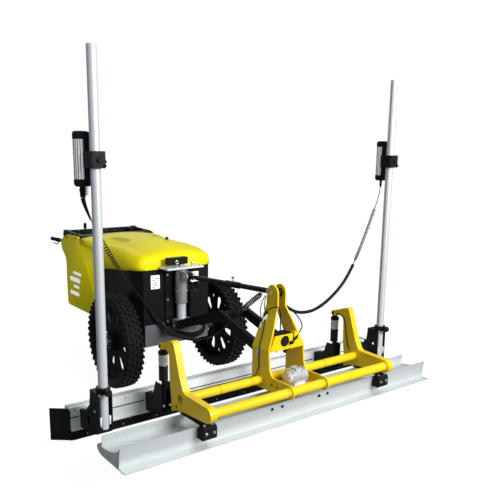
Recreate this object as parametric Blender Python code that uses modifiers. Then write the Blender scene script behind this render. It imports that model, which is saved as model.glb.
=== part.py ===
"""Walk-behind laser screed: a two-wheeled tractor that carries a wide screed head on a lift linkage.

The head is a yellow frame with a vibrating trowel plate under it and a grader beam behind the plate. The beam
hangs on two height actuators and carries the two receiver masts. Lengths are in metres. Before the last line
shifts it, y runs back from the trowel's front lip, z up from the ground and x from the centre plane.
"""
import bmesh
import bpy
import math
from mathutils import Matrix, Vector

# ---- driving dimensions ----
SHIFT = Vector((0.03975, -1.6152, 0.0))   # machine datum to the row's origin, bottom centre of the box
HALF = 1.25                             # half the trowel plate's length
LIFT = 0.19                             # the head hangs this high over the ground
BEAM_HALF = 1.265
TUBE_F = (-0.014, 0.400, 0.030)         # front frame tube: y, z, radius
TUBE_R = (0.261, 0.405, 0.028)          # rear frame tube
PLATE_X = (0.710, 0.755)                # end plates, inner and outer face
TOWER_X = (0.138, 0.150)                # tower plates below the bend, inner and outer face
BEND = (0.61, 0.87, 0.112)              # tower bend: start z, end z, how far it leans in
MAST = (1.162, 0.421, 0.027, 2.35, 0.285)   # masts: x, y, radius, top z, bottom z
RECEIVER = (1.193, 0.523, 0.045, 1.635, 1.925)
ACT = (0.7325, 0.490)                   # height actuators: x, y
PIN_F = (0.30, 0.575, 0.950)            # tower pins: y, lower z, upper z
PIN_R = (1.36, 0.509, 0.884)            # the same pins on the tractor's swing post
POST = (0.0, 1.470)                     # swing post: x, y
AXLE = (1.678, 0.3725)                  # axle: y, z
TYRE_R, TYRE_X = 0.3725, (0.412, 0.552)
RIM_R = 0.300
GAP = 0.0003
STAND = (2.44, 0.405)                   # prop stand's hinge: y, z

COLOURS = {
    "yellow": (0.83, 0.62, 0.02, 0.38, 0.0), "black": (0.02, 0.02, 0.022, 0.5, 0.0),
    "alu": (0.72, 0.74, 0.76, 0.32, 1.0), "rubber": (0.018, 0.018, 0.02, 0.85, 0.0),
    "grey": (0.20, 0.21, 0.23, 0.55, 0.0), "steel": (0.55, 0.56, 0.58, 0.3, 1.0),
    "iron": (0.06, 0.06, 0.065, 0.6, 0.4),
}

for old in list(bpy.data.objects):
    bpy.data.objects.remove(old, do_unlink=True)
PARTS = bpy.data.collections.new("laser_screed")
TOOLS = bpy.data.collections.new("laser_screed_cutters")
bpy.context.scene.collection.children.link(PARTS)
bpy.context.scene.collection.children.link(TOOLS)


# ---- building blocks ----
def paint(ob, colour):
    r, g, b, rough, metal = COLOURS[colour]
    mat = bpy.data.materials.new(ob.name)
    mat.use_nodes = True
    shader = mat.node_tree.nodes["Principled BSDF"]
    shader.inputs["Base Color"].default_value = (r, g, b, 1.0)
    shader.inputs["Roughness"].default_value = rough
    shader.inputs["Metallic"].default_value = metal
    ob.data.materials.clear()
    ob.data.materials.append(mat)


def finish(name, bm, colour, smooth=None, pivot=(0, 0, 0)):
    """Turns bm into an object whose origin is at pivot."""
    bmesh.ops.remove_doubles(bm, verts=bm.verts, dist=1e-6)
    bmesh.ops.recalc_face_normals(bm, faces=bm.faces)
    bmesh.ops.translate(bm, verts=bm.verts, vec=-Vector(pivot))
    mesh = bpy.data.meshes.new(name)
    bm.to_mesh(mesh)
    bm.free()
    ob = bpy.data.objects.new(name, mesh)
    ob.location = pivot
    if colour is None:
        TOOLS.objects.link(ob)
        ob.hide_render = True
        ob.display_type = "WIRE"
        return ob
    PARTS.objects.link(ob)
    paint(ob, colour)
    if smooth is not None:
        for face in mesh.polygons:
            face.use_smooth = True
        mesh.set_sharp_from_angle(angle=math.radians(smooth))
    return ob


def box(bm, lo, hi):
    made = bmesh.ops.create_cube(bm, size=1.0)["verts"]
    size = [hi[i] - lo[i] for i in range(3)]
    bmesh.ops.scale(bm, verts=made, vec=size)
    bmesh.ops.translate(bm, verts=made, vec=[(hi[i] + lo[i]) / 2 for i in range(3)])
    return made


def prism(bm, outline, axis, lo, hi):
    """Extrudes an outline along axis: its points are the other two coordinates in x, y, z order."""
    def at(p, s):
        return {0: (s, p[0], p[1]), 1: (p[0], s, p[1]), 2: (p[0], p[1], s)}[axis]
    rings = [[bm.verts.new(at(p, s)) for p in outline] for s in (lo, hi)]
    bm.faces.new(rings[0])
    bm.faces.new(rings[1][::-1])
    count = len(outline)
    for i in range(count):
        j = (i + 1) % count
        bm.faces.new((rings[0][i], rings[1][i], rings[1][j], rings[0][j]))
    return rings[0] + rings[1]


def frame_of(axis):
    z = Vector(axis).normalized()
    x = z.orthogonal().normalized() if abs(z.z) < 0.99 else Vector((1, 0, 0))
    if abs(z.x) > 0.99:
        x = Vector((0, 1, 0))
    y = z.cross(x)
    return Matrix((x, y, z)).transposed().to_4x4()


def lathe(bm, profile, start, axis, sides=32):
    """Revolves (radius, height) points about the line from start along axis; radius 0 closes an end."""
    turn = Matrix.Translation(start) @ frame_of(axis)
    rings = []
    for radius, height in profile:
        if radius < 1e-9:
            rings.append([bm.verts.new(turn @ Vector((0, 0, height)))])
            continue
        ring = []
        for i in range(sides):
            a = 2 * math.pi * i / sides
            ring.append(bm.verts.new(turn @ Vector((radius * math.cos(a), radius * math.sin(a), height))))
        rings.append(ring)
    for low, high in zip(rings, rings[1:]):
        for i in range(sides):
            j = (i + 1) % sides
            if len(low) == 1:
                bm.faces.new((low[0], high[i], high[j]))
            elif len(high) == 1:
                bm.faces.new((low[i], low[j], high[0]))
            else:
                bm.faces.new((low[i], low[j], high[j], high[i]))
    return [v for ring in rings for v in ring]


def rod(bm, a, b, radius, sides=24, chamfer=0.0):
    axis = Vector(b) - Vector(a)
    length = axis.length
    c = chamfer
    profile = [(0, 0), (radius, 0), (radius, length), (0, length)]
    if c:
        profile = [(0, 0), (radius - c, 0), (radius, c), (radius, length - c), (radius - c, length), (0, length)]
    return lathe(bm, profile, a, axis, sides)


def pipe(bm, a, b, outer, inner, sides=24):
    axis = Vector(b) - Vector(a)
    length = axis.length
    return lathe(bm, [(inner, 0), (outer, 0), (outer, length), (inner, length), (inner, 0)], a, axis, sides)


def closed(points_of, name, colour, **more):
    bm = bmesh.new()
    points_of(bm)
    return finish(name, bm, colour, **more)


def cut(ob, tool, how="DIFFERENCE"):
    mod = ob.modifiers.new(how.lower() + "_" + tool.name, "BOOLEAN")
    mod.operation = how
    mod.object = tool
    mod.solver = "EXACT"


def cutter(name, build):
    bm = bmesh.new()
    build(bm)
    return finish(name, bm, None)


def arc(centre, radius, start, end, steps):
    out = []
    for i in range(steps + 1):
        a = math.radians(start + (end - start) * i / steps)
        out.append((centre[0] + radius * math.cos(a), centre[1] + radius * math.sin(a)))
    return out


def round_box(name, lo, hi, radius, colour, segments=2, smooth=35, pivot=(0, 0, 0)):
    bm = bmesh.new()
    box(bm, lo, hi)
    ob = finish(name, bm, colour, smooth=smooth, pivot=pivot)
    mod = ob.modifiers.new("round", "BEVEL")
    mod.width = radius
    mod.segments = segments
    mod.limit_method = "ANGLE"
    return ob


SIDES = (("left", -1), ("right", 1))


# ---- trowel plate ----
TROWEL = [(0.0, 0.190), (0.270, 0.190), (0.302, 0.196), (0.325, 0.210), (0.333, 0.228), (0.326, 0.241),
          (0.304, 0.246), (0.2745, 0.2455), (0.2595, 0.3145), (0.2555, 0.3145), (0.270, 0.2445), (0.230, 0.2465),
          (0.192, 0.252), (0.152, 0.260), (0.116, 0.271), (0.080, 0.289), (0.0545, 0.3155), (0.050, 0.3155),
          (0.0635, 0.1965), (0.0, 0.1945)]
TROWEL_HOLLOW = [(0.070, 0.195), (0.268, 0.195), (0.300, 0.201), (0.320, 0.214), (0.327, 0.228),
                 (0.322, 0.236), (0.302, 0.241), (0.230, 0.2415), (0.192, 0.247), (0.152, 0.255),
                 (0.116, 0.266), (0.080, 0.284), (0.0585, 0.300)]
trowel = closed(lambda bm: prism(bm, TROWEL, 0, -HALF, HALF), "vib_plate", "alu", smooth=30)


def trowel_core(bm):
    prism(bm, TROWEL_HOLLOW, 0, -HALF + 0.004, HALF - 0.004)


def trowel_drain(bm):
    rod(bm, (-HALF - 0.02, 0.20, 0.215), (HALF + 0.02, 0.20, 0.215), 0.006, 12)


cut(trowel, cutter("trowel_core", trowel_core))
cut(trowel, cutter("trowel_drain", trowel_drain))

# ---- grader beam, its cutting edge and the two side wings ----
BEAM = [(0.645, 0.196), (0.740, 0.196), (0.745, 0.201), (0.745, 0.330), (0.740, 0.335), (0.668, 0.335),
        (0.662, 0.280), (0.666, 0.277), (0.666, 0.271), (0.660, 0.268), (0.658, 0.206), (0.645, 0.206)]
beam = closed(lambda bm: prism(bm, BEAM, 0, -BEAM_HALF, BEAM_HALF), "scraper_beam", "alu")
cut(beam, cutter("beam_core", lambda bm: prism(
    bm, [(0.669, 0.203), (0.738, 0.203), (0.738, 0.328), (0.677, 0.328), (0.672, 0.262)],
    0, -BEAM_HALF + 0.004, BEAM_HALF - 0.004)))
cut(beam, cutter("beam_drain", lambda bm: rod(
    bm, (-BEAM_HALF - 0.02, 0.70, 0.23), (BEAM_HALF + 0.02, 0.70, 0.23), 0.006, 12)))
closed(lambda bm: box(bm, (-BEAM_HALF + 0.002, 0.646, 0.139), (BEAM_HALF - 0.002, 0.656, 0.196 - GAP)),
       "cutting_edge", "black")

WING_Y, WING_LENGTH = 0.664, 0.112
for side, s in SIDES:
    turn = math.radians(39 if s < 0 else 90)        # from straight out along the beam to straight back
    hinge = (s * (BEAM_HALF + 0.0115), WING_Y, 0.0)
    bm = bmesh.new()
    made = prism(bm, [(0.0, -0.004), (WING_LENGTH, -0.004), (WING_LENGTH, 0.006), (0.0, 0.006)], 2, 0.139, 0.337)
    bmesh.ops.rotate(bm, verts=made, cent=(0, 0, 0), matrix=Matrix.Rotation(turn, 3, "Z"))
    if s < 0:
        bmesh.ops.scale(bm, verts=made, vec=(-1, 1, 1))
    bmesh.ops.translate(bm, verts=made, vec=hinge)
    wing = finish("wing_" + side, bm, "black", pivot=hinge)
    barrel = cutter("wing_barrel_" + side, lambda bm: rod(
        bm, (hinge[0], hinge[1], 0.150), (hinge[0], hinge[1], 0.326), 0.010, 16))
    cut(wing, barrel, "UNION")

# ---- yellow frame ----
closed(lambda bm: pipe(bm, (-0.757, *TUBE_F[:2]), (0.757, *TUBE_F[:2]), TUBE_F[2], 0.024, 32), "front_tube",
       "yellow", smooth=40)
closed(lambda bm: pipe(bm, (-0.748, *TUBE_R[:2]), (0.748, *TUBE_R[:2]), TUBE_R[2], 0.023, 32), "rear_tube",
       "yellow", smooth=40)

END_PLATE = (arc(TUBE_F[:2], 0.046, 100, 262, 8) +
             [(0.200, 0.340), (0.300, 0.325), (0.361, 0.300), (0.3625, 0.386), (0.377, 0.487), (0.382, 0.630),
              (0.387, 0.653), (0.402, 0.668), (0.430, 0.672), (0.457, 0.660)] +
             arc((0.490, 0.675), 0.0195, -80, 80, 6) +
             [(0.452, 0.7015), (0.418, 0.718), (0.385, 0.7305), (0.362, 0.737), (0.345, 0.737), (0.332, 0.729),
              (0.309, 0.666), (0.261, 0.528), (0.226, 0.462), (0.205, 0.452)])


def plate_holes(bm, x0, x1):
    rod(bm, (x0, *TUBE_F[:2]), (x1, *TUBE_F[:2]), TUBE_F[2] + GAP, 32)
    rod(bm, (x0, *TUBE_R[:2]), (x1, *TUBE_R[:2]), TUBE_R[2] + GAP, 32)


def inset(outline, by):
    """Moves every side of an outline inwards; the outline runs anticlockwise or clockwise."""
    count = len(outline)
    area = sum(outline[i][0] * outline[(i + 1) % count][1] - outline[(i + 1) % count][0] * outline[i][1]
               for i in range(count))
    sign = 1.0 if area > 0 else -1.0
    moved = []
    for i in range(count):
        p, q, r = Vector(outline[i - 1]), Vector(outline[i]), Vector(outline[(i + 1) % count])
        a, b = (q - p).normalized(), (r - q).normalized()
        n = (Vector((-a.y, a.x)) + Vector((-b.y, b.x))) * sign
        k = by / max(n.length_squared / 2, 0.35)
        moved.append(tuple(q + n * k))
    return moved


# the box section's hollow: the arm and the foot, clear of the hook and the collars
PLATE_HOLLOW = [(0.040, 0.362), (0.205, 0.349), (0.300, 0.334), (0.352, 0.316), (0.3545, 0.386), (0.368, 0.487),
                (0.376, 0.650), (0.352, 0.725), (0.345, 0.730), (0.320, 0.664), (0.270, 0.524), (0.233, 0.456),
                (0.205, 0.440), (0.040, 0.440)]

for side, s in SIDES:
    lo, hi = sorted((s * PLATE_X[0], s * PLATE_X[1]))
    plate = closed(lambda bm: prism(bm, END_PLATE, 0, lo, hi), "end_plate_" + side, "yellow", smooth=28)
    cut(plate, cutter("end_holes_" + side, lambda bm: plate_holes(bm, lo - 0.02, hi + 0.02)))
    cut(plate, cutter("end_hollow_" + side, lambda bm: prism(bm, PLATE_HOLLOW, 0, lo + 0.005, hi - 0.005)))
    # the clevis pocket at the hook's end, where the actuator's eye sits
    cut(plate, cutter("hook_pocket_" + side, lambda bm: box(bm, (s * ACT[0] - 0.0135, 0.452, 0.60),
                                                           (s * ACT[0] + 0.0135, 0.54, 0.72))))
    # isolator rail under the foot, on the trowel's two walls
    bm = bmesh.new()
    prism(bm, [(0.036, 0.3162), (0.272, 0.3162), (0.272, 0.3225), (0.200, 0.3390),
               (0.010, 0.3515), (0.010, 0.3300), (0.036, 0.3300)], 0, lo + 0.004, hi - 0.004)
    finish("pad_bar_" + side, bm, "rubber")
    # isolator block on the trowel's front wall
    bm = bmesh.new()
    prism(bm, [(0.0, 0.246), (0.0568, 0.246), (0.0497, 0.309), (0.034, 0.3155), (0.034, 0.3285), (0.0, 0.3285),
               (-0.012, 0.318), (-0.012, 0.256)], 0, s * 0.724 - 0.045, s * 0.724 + 0.045)
    finish("mount_" + side, bm, "rubber")

# ---- tower: two bent plates, a cross box with a round plug, and the base plate ----
TOWER = (arc(TUBE_F[:2], 0.044, 100, 262, 8) + [(0.150, 0.350), (0.340, 0.350), (0.355, 0.365), (0.355, BEND[0])] +
         [(0.355, BEND[1])] + arc((PIN_F[0], PIN_F[2]), 0.053, 0, 180, 12) +
         [(0.247, BEND[1]), (0.215, 0.740), (0.190, BEND[0]), (0.180, 0.500), (0.165, 0.460), (0.140, 0.444)])


def lean(z):
    t = min(max((z - BEND[0]) / (BEND[1] - BEND[0]), 0.0), 1.0)
    return BEND[2] * t


for side, s in SIDES:
    lo, hi = sorted((s * TOWER_X[0], s * TOWER_X[1]))
    bm = bmesh.new()
    prism(bm, TOWER, 0, lo, hi)
    for z in (BEND[0], BEND[1]):
        bmesh.ops.bisect_plane(bm, geom=bm.verts[:] + bm.edges[:] + bm.faces[:], plane_co=(0, 0, z),
                               plane_no=(0, 0, 1))
    for v in bm.verts:
        v.co.x -= s * lean(v.co.z)
    plate = finish("tower_plate_" + side, bm, "yellow", smooth=28)

    def tower_holes(bm):
        plate_holes(bm, lo - 0.02, hi + 0.02)
        rod(bm, (lo - 0.02, PIN_F[0], PIN_F[1]), (hi + 0.02, PIN_F[0], PIN_F[1]), 0.0128, 24)
    cut(plate, cutter("tower_holes_" + side, tower_holes))
    cut(plate, cutter("tower_eye_" + side, lambda bm: rod(
        bm, (0.0 if s > 0 else -0.06, PIN_F[0], PIN_F[2]), (0.06 if s > 0 else 0.0, PIN_F[0], PIN_F[2]), 0.0108, 24)))

CROSS = (TOWER_X[0] - GAP)
cross = closed(lambda bm: box(bm, (-CROSS, 0.185, 0.600), (CROSS, 0.262, 0.700)), "cross_box", "yellow")


def cross_trim(bm):
    """The box's sides lean in with the tower plates."""
    for s in (-1, 1):
        x0, x1 = s * (TOWER_X[0] - GAP), s * (TOWER_X[0] - GAP - BEND[2] * (0.72 - BEND[0]) / (BEND[1] - BEND[0]))
        prism(bm, [(x0, BEND[0]), (x0 + s * 0.05, BEND[0]), (x0 + s * 0.05, 0.72), (x1, 0.72)], 1, 0.15, 0.30)


cut(cross, cutter("cross_trim", cross_trim))
cut(cross, cutter("cross_bore", lambda bm: rod(bm, (-0.020, 0.15, 0.655), (-0.020, 0.30, 0.655), 0.0363, 32)))
closed(lambda bm: lathe(bm, [(0, 0), (0.030, 0), (0.036, 0.006), (0.036, 0.079), (0, 0.079)],
                        (-0.020, 0.181, 0.655), (0, 1, 0)), "pivot_plug", "rubber", smooth=40)

base = closed(lambda bm: box(bm, (-TOWER_X[0] + GAP, 0.045, 0.372), (TOWER_X[0] - GAP, 0.222, 0.384)),
              "base_plate", "yellow")
cut(base, cutter("base_holes", lambda bm: [rod(bm, (x, 0.10, 0.35), (x, 0.10, 0.41), 0.022, 24)
                                           for x in (-0.095, 0.112)]))

# ---- vibrator: finned housing with an unbalanced rotor inside ----
VIB_Y, VIB_Z = 0.110, 0.4400
bm = bmesh.new()
prism(bm, [(0.050, 0.3843), (0.172, 0.3843), (0.172, 0.462), (0.150, 0.488), (0.070, 0.488), (0.050, 0.462)],
      0, -0.066, 0.088)
motor = finish("vibrator_motor", bm, "alu")
cut(motor, cutter("motor_core", lambda bm: rod(bm, (-0.060, VIB_Y, VIB_Z), (0.082, VIB_Y, VIB_Z), 0.0400, 32)))
cut(motor, cutter("motor_bore", lambda bm: rod(bm, (-0.09, VIB_Y, VIB_Z), (0.11, VIB_Y, VIB_Z), 0.0085, 24)))
bm = bmesh.new()
rod(bm, (-0.064, VIB_Y, VIB_Z), (0.086, VIB_Y, VIB_Z), 0.0080, 24)
rotor = finish("vibrator_rotor", bm, "steel", smooth=40, pivot=(0.011, VIB_Y, VIB_Z))
half = [(-0.034, 0.0)] + arc((0.0, 0.0), 0.034, 180, 360, 14)[1:]
weights = cutter("rotor_weights", lambda bm: prism(bm, [(VIB_Y + p[0], VIB_Z + p[1]) for p in half], 0,
                                                  -0.050, 0.072))
cut(rotor, weights, "UNION")

# ---- masts, their brackets, clamps and laser receivers ----
MX, MY, MR, MTOP, MBOT = MAST
BRACKET = [(0.400, 0.262), (0.420, 0.246), (0.530, 0.210), (0.6442, 0.210), (0.6575, 0.2104), (0.6575, 0.262),
           (0.6595, 0.270), (0.6605, 0.320), (0.560, 0.350), (0.515, 0.400), (0.505, 0.470), (0.505, 0.4935),
           (0.400, 0.4935)]
for side, s in SIDES:
    x = s * MX
    bm = bmesh.new()
    prism(bm, BRACKET, 0, x - 0.045, x + 0.045)
    bracket = finish("mast_bracket_" + side, bm, "black")

    def channel(bm):
        box(bm, (x - 0.038, 0.36, 0.285), (x + 0.038, 0.490, 0.478))
    cut(bracket, cutter("bracket_channel_" + side, channel))
    cut(bracket, cutter("bracket_back_" + side, lambda bm: box(bm, (x - 0.038, 0.497, 0.225), (x + 0.038, 0.652, 0.46))))
    cut(bracket, cutter("bracket_slot_" + side, lambda bm: box(bm, (x - 0.06, 0.520, 0.262), (x + 0.06, 0.545, 0.322))))
    cut(bracket, cutter("collar_" + side, lambda bm: lathe(
        bm, [(0, 0), (0.041, 0), (0.041, 0.036), (0, 0.036)], (x, MY, 0.489), (0, 0, 1), 32)), "UNION")
    cut(bracket, cutter("mast_way_" + side, lambda bm: rod(bm, (x, MY, 0.2751), (x, MY, 0.60), MR + GAP, 28)))
    cut(bracket, cutter("knob_way_" + side, lambda bm: rod(bm, (x, 0.36, 0.507), (x, 0.41, 0.507), 0.0055, 20)))
    closed(lambda bm: pipe(bm, (x, MY, MBOT - 0.0096), (x, MY, MTOP), MR, 0.0235, 28), "mast_" + side, "alu",
           smooth=40, pivot=(x, MY, MTOP))
    tip = MY - MR - 0.0006
    closed(lambda bm: lathe(bm, [(0, 0), (0.0050, 0), (0.0050, 0.021), (0.010, 0.022), (0.020, 0.028),
                                 (0.021, 0.034), (0.021, 0.046), (0.016, 0.052), (0, 0.052)],
                            (x, tip, 0.507), (0, -1, 0), 20), "clamp_knob_" + side, "black", smooth=40,
           pivot=(x, tip, 0.507))
    rx, ry, rr, r0, r1 = RECEIVER
    closed(lambda bm: lathe(bm, [(0, 0), (rr - 0.006, 0), (rr, 0.006), (rr, 0.040), (rr - 0.004, 0.044),
                                 (rr - 0.004, 0.244), (rr, 0.248), (rr, r1 - r0 - 0.006),
                                 (rr - 0.006, r1 - r0), (0, r1 - r0)], (s * rx, ry, r0), (0, 0, 1), 32),
           "receiver_" + side, "black", smooth=40, pivot=(s * rx, ry, r0))
    clamp = round_box("receiver_clamp_" + side, (x - 0.040, 0.378, 1.775), (x + 0.040, 0.4755, 1.868), 0.006,
                      "black", segments=1)
    cut(clamp, cutter("clamp_bore_" + side, lambda bm: rod(bm, (x, MY, 1.74), (x, MY, 1.90), MR + GAP, 28)))

# ---- height actuators between the end plates' hooks and the beam ----
AX, AY = ACT
for side, s in SIDES:
    x = s * AX
    # fixed half: eye in the hook, silver gear head, black cylinder
    bm = bmesh.new()
    lathe(bm, [(0, 0.455), (0.0285, 0.455), (0.0285, 0.545), (0.0265, 0.551), (0.0265, 0.618), (0.0295, 0.621),
               (0.0295, 0.641), (0, 0.641)], (x, AY, 0), (0, 0, 1), 28)
    body = finish("actuator_" + side, bm, "black", smooth=40)
    eye = [(0.476, 0.638)] + [(p[0], p[1]) for p in arc((AY, 0.675), 0.018, 180, 0, 8)] + [(0.504, 0.638)]
    cut(body, cutter("act_eye_" + side, lambda bm: prism(bm, eye, 0, x - 0.0125, x + 0.0125)), "UNION")
    cut(body, cutter("act_bore_" + side, lambda bm: rod(bm, (x, AY, 0.44), (x, AY, 0.600), 0.0128, 24)))
    # moving half: chrome rod on a black bracket that is bolted to the beam's front
    bm = bmesh.new()
    prism(bm, [(0.470, 0.232), (0.6573, 0.2104), (0.6573, 0.262), (0.6595, 0.270), (0.6612, 0.330),
               (0.560, 0.3555), (0.530, 0.440), (0.455, 0.440), (0.452, 0.270)], 0, x - 0.035, x + 0.035)
    lift = finish("lift_rod_" + side, bm, "black")
    cut(lift, cutter("lift_window_" + side, lambda bm: box(bm, (x - 0.030, 0.440, 0.262), (x + 0.030, 0.645, 0.460))))
    cut(lift, cutter("lift_chrome_" + side, lambda bm: rod(bm, (x, AY, 0.250), (x, AY, 0.530), 0.0123, 24)), "UNION")

# ---- lift linkage: gooseneck lower arms, top link, pins and balance spring ----
ARM = [(PIN_R[0], PIN_R[1]), (0.78, 0.715), (PIN_F[0], PIN_F[1])]
ARM_X = (0.090, 0.122)


def arm_outline(half=0.034):
    """One arm's side view: a band of constant width along the gooseneck with round ends."""
    def normal(a, b):
        d = Vector((b[0] - a[0], b[1] - a[1])).normalized()
        return Vector((-d.y, d.x))
    n0, n1 = normal(ARM[0], ARM[1]), normal(ARM[1], ARM[2])
    mid = (n0 + n1).normalized() * (half / (n0 + n1).normalized().dot(n0))
    elbow = Vector(ARM[1])

    def cap(centre, n):
        start = math.degrees(math.atan2(n.y, n.x))
        return arc(centre, half, start, start + 180, 8)
    return cap(ARM[0], -n0) + [tuple(elbow + mid)] + cap(ARM[2], n1) + [tuple(elbow - mid)]


arms = closed(lambda bm: prism(bm, arm_outline(), 0, -ARM_X[1], -ARM_X[0]), "lower_arms", "black", smooth=28,
              pivot=(0, PIN_R[0], PIN_R[1]))
cut(arms, cutter("arm_right", lambda bm: prism(bm, arm_outline(), 0, ARM_X[0], ARM_X[1])), "UNION")
cut(arms, cutter("arm_tie", lambda bm: rod(bm, (-0.11, 0.78, 0.715), (0.11, 0.78, 0.715), 0.020, 20)), "UNION")
cut(arms, cutter("arm_bores", lambda bm: [rod(bm, (-0.2, y, z), (0.2, y, z), 0.0128, 24)
                                          for y, z in ((PIN_F[0], PIN_F[1]), (PIN_R[0], PIN_R[1]))]))
closed(lambda bm: rod(bm, (-0.160, PIN_F[0], PIN_F[1]), (0.160, PIN_F[0], PIN_F[1]), 0.0125, 24, 0.002),
       "lower_pin", "steel", smooth=40, pivot=(0, PIN_F[0], PIN_F[1]))
closed(lambda bm: rod(bm, (-0.046, PIN_F[0], PIN_F[2]), (0.046, PIN_F[0], PIN_F[2]), 0.0105, 24, 0.002),
       "top_pin", "steel", smooth=40, pivot=(0, PIN_F[0], PIN_F[2]))

LINK_A = Vector((0, PIN_R[0], PIN_R[2]))
LINK_B = Vector((0, PIN_F[0], PIN_F[2]))
REACH = (LINK_B - LINK_A).length
link = closed(lambda bm: lathe(bm, [
    (0, 0.02), (0.014, 0.02), (0.014, 0.10), (0.018, 0.105), (0.018, 0.50), (0.023, 0.505), (0.023, 0.66),
    (0.018, 0.665), (0.018, 0.96), (0.014, 0.965), (0.014, REACH - 0.02), (0, REACH - 0.02)],
    LINK_A, LINK_B - LINK_A, 20), "top_link", "black", smooth=35, pivot=LINK_A)
for tag, at in (("rear", LINK_A), ("front", LINK_B)):
    cut(link, cutter("link_eye_" + tag, lambda bm: rod(bm, at - Vector((0.021, 0, 0)), at + Vector((0.021, 0, 0)),
                                                      0.029, 24)), "UNION")
cut(link, cutter("link_bores", lambda bm: [rod(bm, at - Vector((0.1, 0, 0)), at + Vector((0.1, 0, 0)), 0.0112, 24)
                                           for at in (LINK_A, LINK_B)]))

# balance spring from the arms' tie bar up towards the top link, drawn as its outer sleeve
S0, S1 = Vector((0.066, 0.762, 0.744)), Vector((0.008, 0.520, 0.9085))
bm = bmesh.new()
span = (S1 - S0).length
lathe(bm, [(0, 0), (0.005, 0), (0.005, 0.022), (0.019, 0.028), (0.019, span - 0.028), (0.005, span - 0.022),
           (0.005, span), (0, span)], S0, S1 - S0, 16)
finish("tension_spring", bm, "steel", smooth=40, pivot=S0)

# ---- swing post: it turns between the nose bracket's plates and carries both links ----
PX, PY = POST
bm = bmesh.new()
lathe(bm, [(0, 0.4585), (0.0200, 0.4585), (0.0200, 0.4785), (0.047, 0.4785), (0.047, 0.490), (0.036, 0.500),
           (0.036, 0.655), (0.046, 0.660), (0.046, 0.936), (0.0200, 0.9362), (0.0200, 0.967), (0, 0.967)],
      (PX, PY, 0), (0, 0, 1), 36)
post = finish("swing_post", bm, "steel", smooth=35, pivot=(PX, PY, 0.7))
cut(post, cutter("post_boss", lambda bm: box(bm, (-0.0885, 1.332, 0.484), (0.0885, 1.462, 0.534))), "UNION")
cut(post, cutter("post_shaft", lambda bm: rod(bm, (-0.138, *PIN_R[:2]), (0.138, *PIN_R[:2]), 0.0125, 24)), "UNION")
for s in (-1, 1):
    lo, hi = sorted((s * 0.0225, s * 0.0350))
    ear = arc((PIN_R[0], PIN_R[2]), 0.030, 90, 270, 10) + [(1.450, 0.850), (1.450, 0.914)]
    cut(post, cutter("post_ear_%d" % (s > 0), lambda bm: prism(bm, ear, 0, lo, hi)), "UNION")
cut(post, cutter("post_pin", lambda bm: rod(bm, (-0.044, PIN_R[0], PIN_R[2]), (0.044, PIN_R[0], PIN_R[2]),
                                            0.0108, 24)), "UNION")

NOSE_Y, TAIL_Y = 1.535, 2.990
nose = closed(lambda bm: box(bm, (-0.115, 1.5205, 0.445), (0.115, NOSE_Y - GAP, 0.9365)), "nose_bracket", "steel")
cut(nose, cutter("nose_top", lambda bm: box(bm, (-0.165, 1.398, 0.9368), (0.165, NOSE_Y - GAP, 0.949))), "UNION")
cut(nose, cutter("nose_low", lambda bm: box(bm, (-0.060, 1.425, 0.462), (0.060, 1.522, 0.476))), "UNION")
cut(nose, cutter("nose_join", lambda bm: box(bm, (-0.115, 1.5205, 0.930), (0.115, NOSE_Y - GAP, 0.940))), "UNION")
cut(nose, cutter("nose_bores", lambda bm: rod(bm, (PX, PY, 0.40), (PX, PY, 1.00), 0.0203, 32)))
closed(lambda bm: rod(bm, (-0.130, 1.468, 0.9955), (0.048, 1.468, 0.9955), 0.0270, 24, 0.004), "swing_lock",
       "black", smooth=35)
round_box("lift_block", (0.056, 1.424, 0.562), (0.200, 1.5202, 0.745), 0.008, "black")

# ---- tractor: chassis, hood, rear cover, power unit, ballast ----
WAIST_Y = 2.165
SIDE = 0.375
bm = bmesh.new()
TUB = [(-0.300, NOSE_Y), (0.300, NOSE_Y), (0.345, NOSE_Y + 0.12), (0.345, WAIST_Y - 0.004),
       (-0.345, WAIST_Y - 0.004), (-0.345, NOSE_Y + 0.12)]
prism(bm, TUB, 2, 0.315, 0.9265)
chassis = finish("chassis", bm, "black")
cut(chassis, cutter("tub_room", lambda bm: prism(bm, inset(TUB, 0.003), 2, 0.319, 1.0)))
cut(chassis, cutter("tray", lambda bm: box(bm, (-0.345, WAIST_Y - 0.0065, 0.430), (0.345, 2.872, 0.436))), "UNION")
cut(chassis, cutter("stand_lug", lambda bm: box(bm, (-0.014, STAND[0] - 0.015, STAND[1] - 0.015),
                                                (0.014, STAND[0] + 0.015, 0.433))), "UNION")
cut(chassis, cutter("stand_bore", lambda bm: rod(bm, (-0.05, *STAND), (0.05, *STAND), 0.0063, 16)))
cut(chassis, cutter("axle_way", lambda bm: rod(bm, (-0.5, *AXLE), (0.5, *AXLE), 0.0303, 32)))
cut(chassis, cutter("nose_windows", lambda bm: [box(bm, (x0, 1.50, z0), (x1, 1.545, z1)) for x0, x1, z0, z1 in
                                                ((-0.235, -0.155, 0.775, 0.885), (0.128, 0.205, 0.795, 0.880))]))

# hood: a shell with a sloping nose, open underneath
HOOD_SIDE = [(1.537, 0.9275), (1.537, 1.015), (1.562, 1.072), (1.630, 1.108), (1.760, 1.125), (2.000, 1.128),
             (2.300, 1.112), (2.560, 1.090), (2.560, 1.030), (WAIST_Y, 1.030), (WAIST_Y, 0.9275)]


def hood_sides(half, nose):
    """Plan of the hood: narrow rounded nose that widens to the full body."""
    left = [(-half, 2.70), (-half, 1.800), (-half + 0.030, 1.640), (-half + 0.062, 1.560), (-half + 0.115, nose)]
    return left + [(-x, y) for x, y in reversed(left)]


bm = bmesh.new()
prism(bm, HOOD_SIDE, 0, -SIDE, SIDE)
hood = finish("hood", bm, "yellow", smooth=32)
cut(hood, cutter("hood_plan", lambda bm: prism(bm, hood_sides(SIDE, 1.537), 2, 0.85, 1.30)), "INTERSECT")


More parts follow.
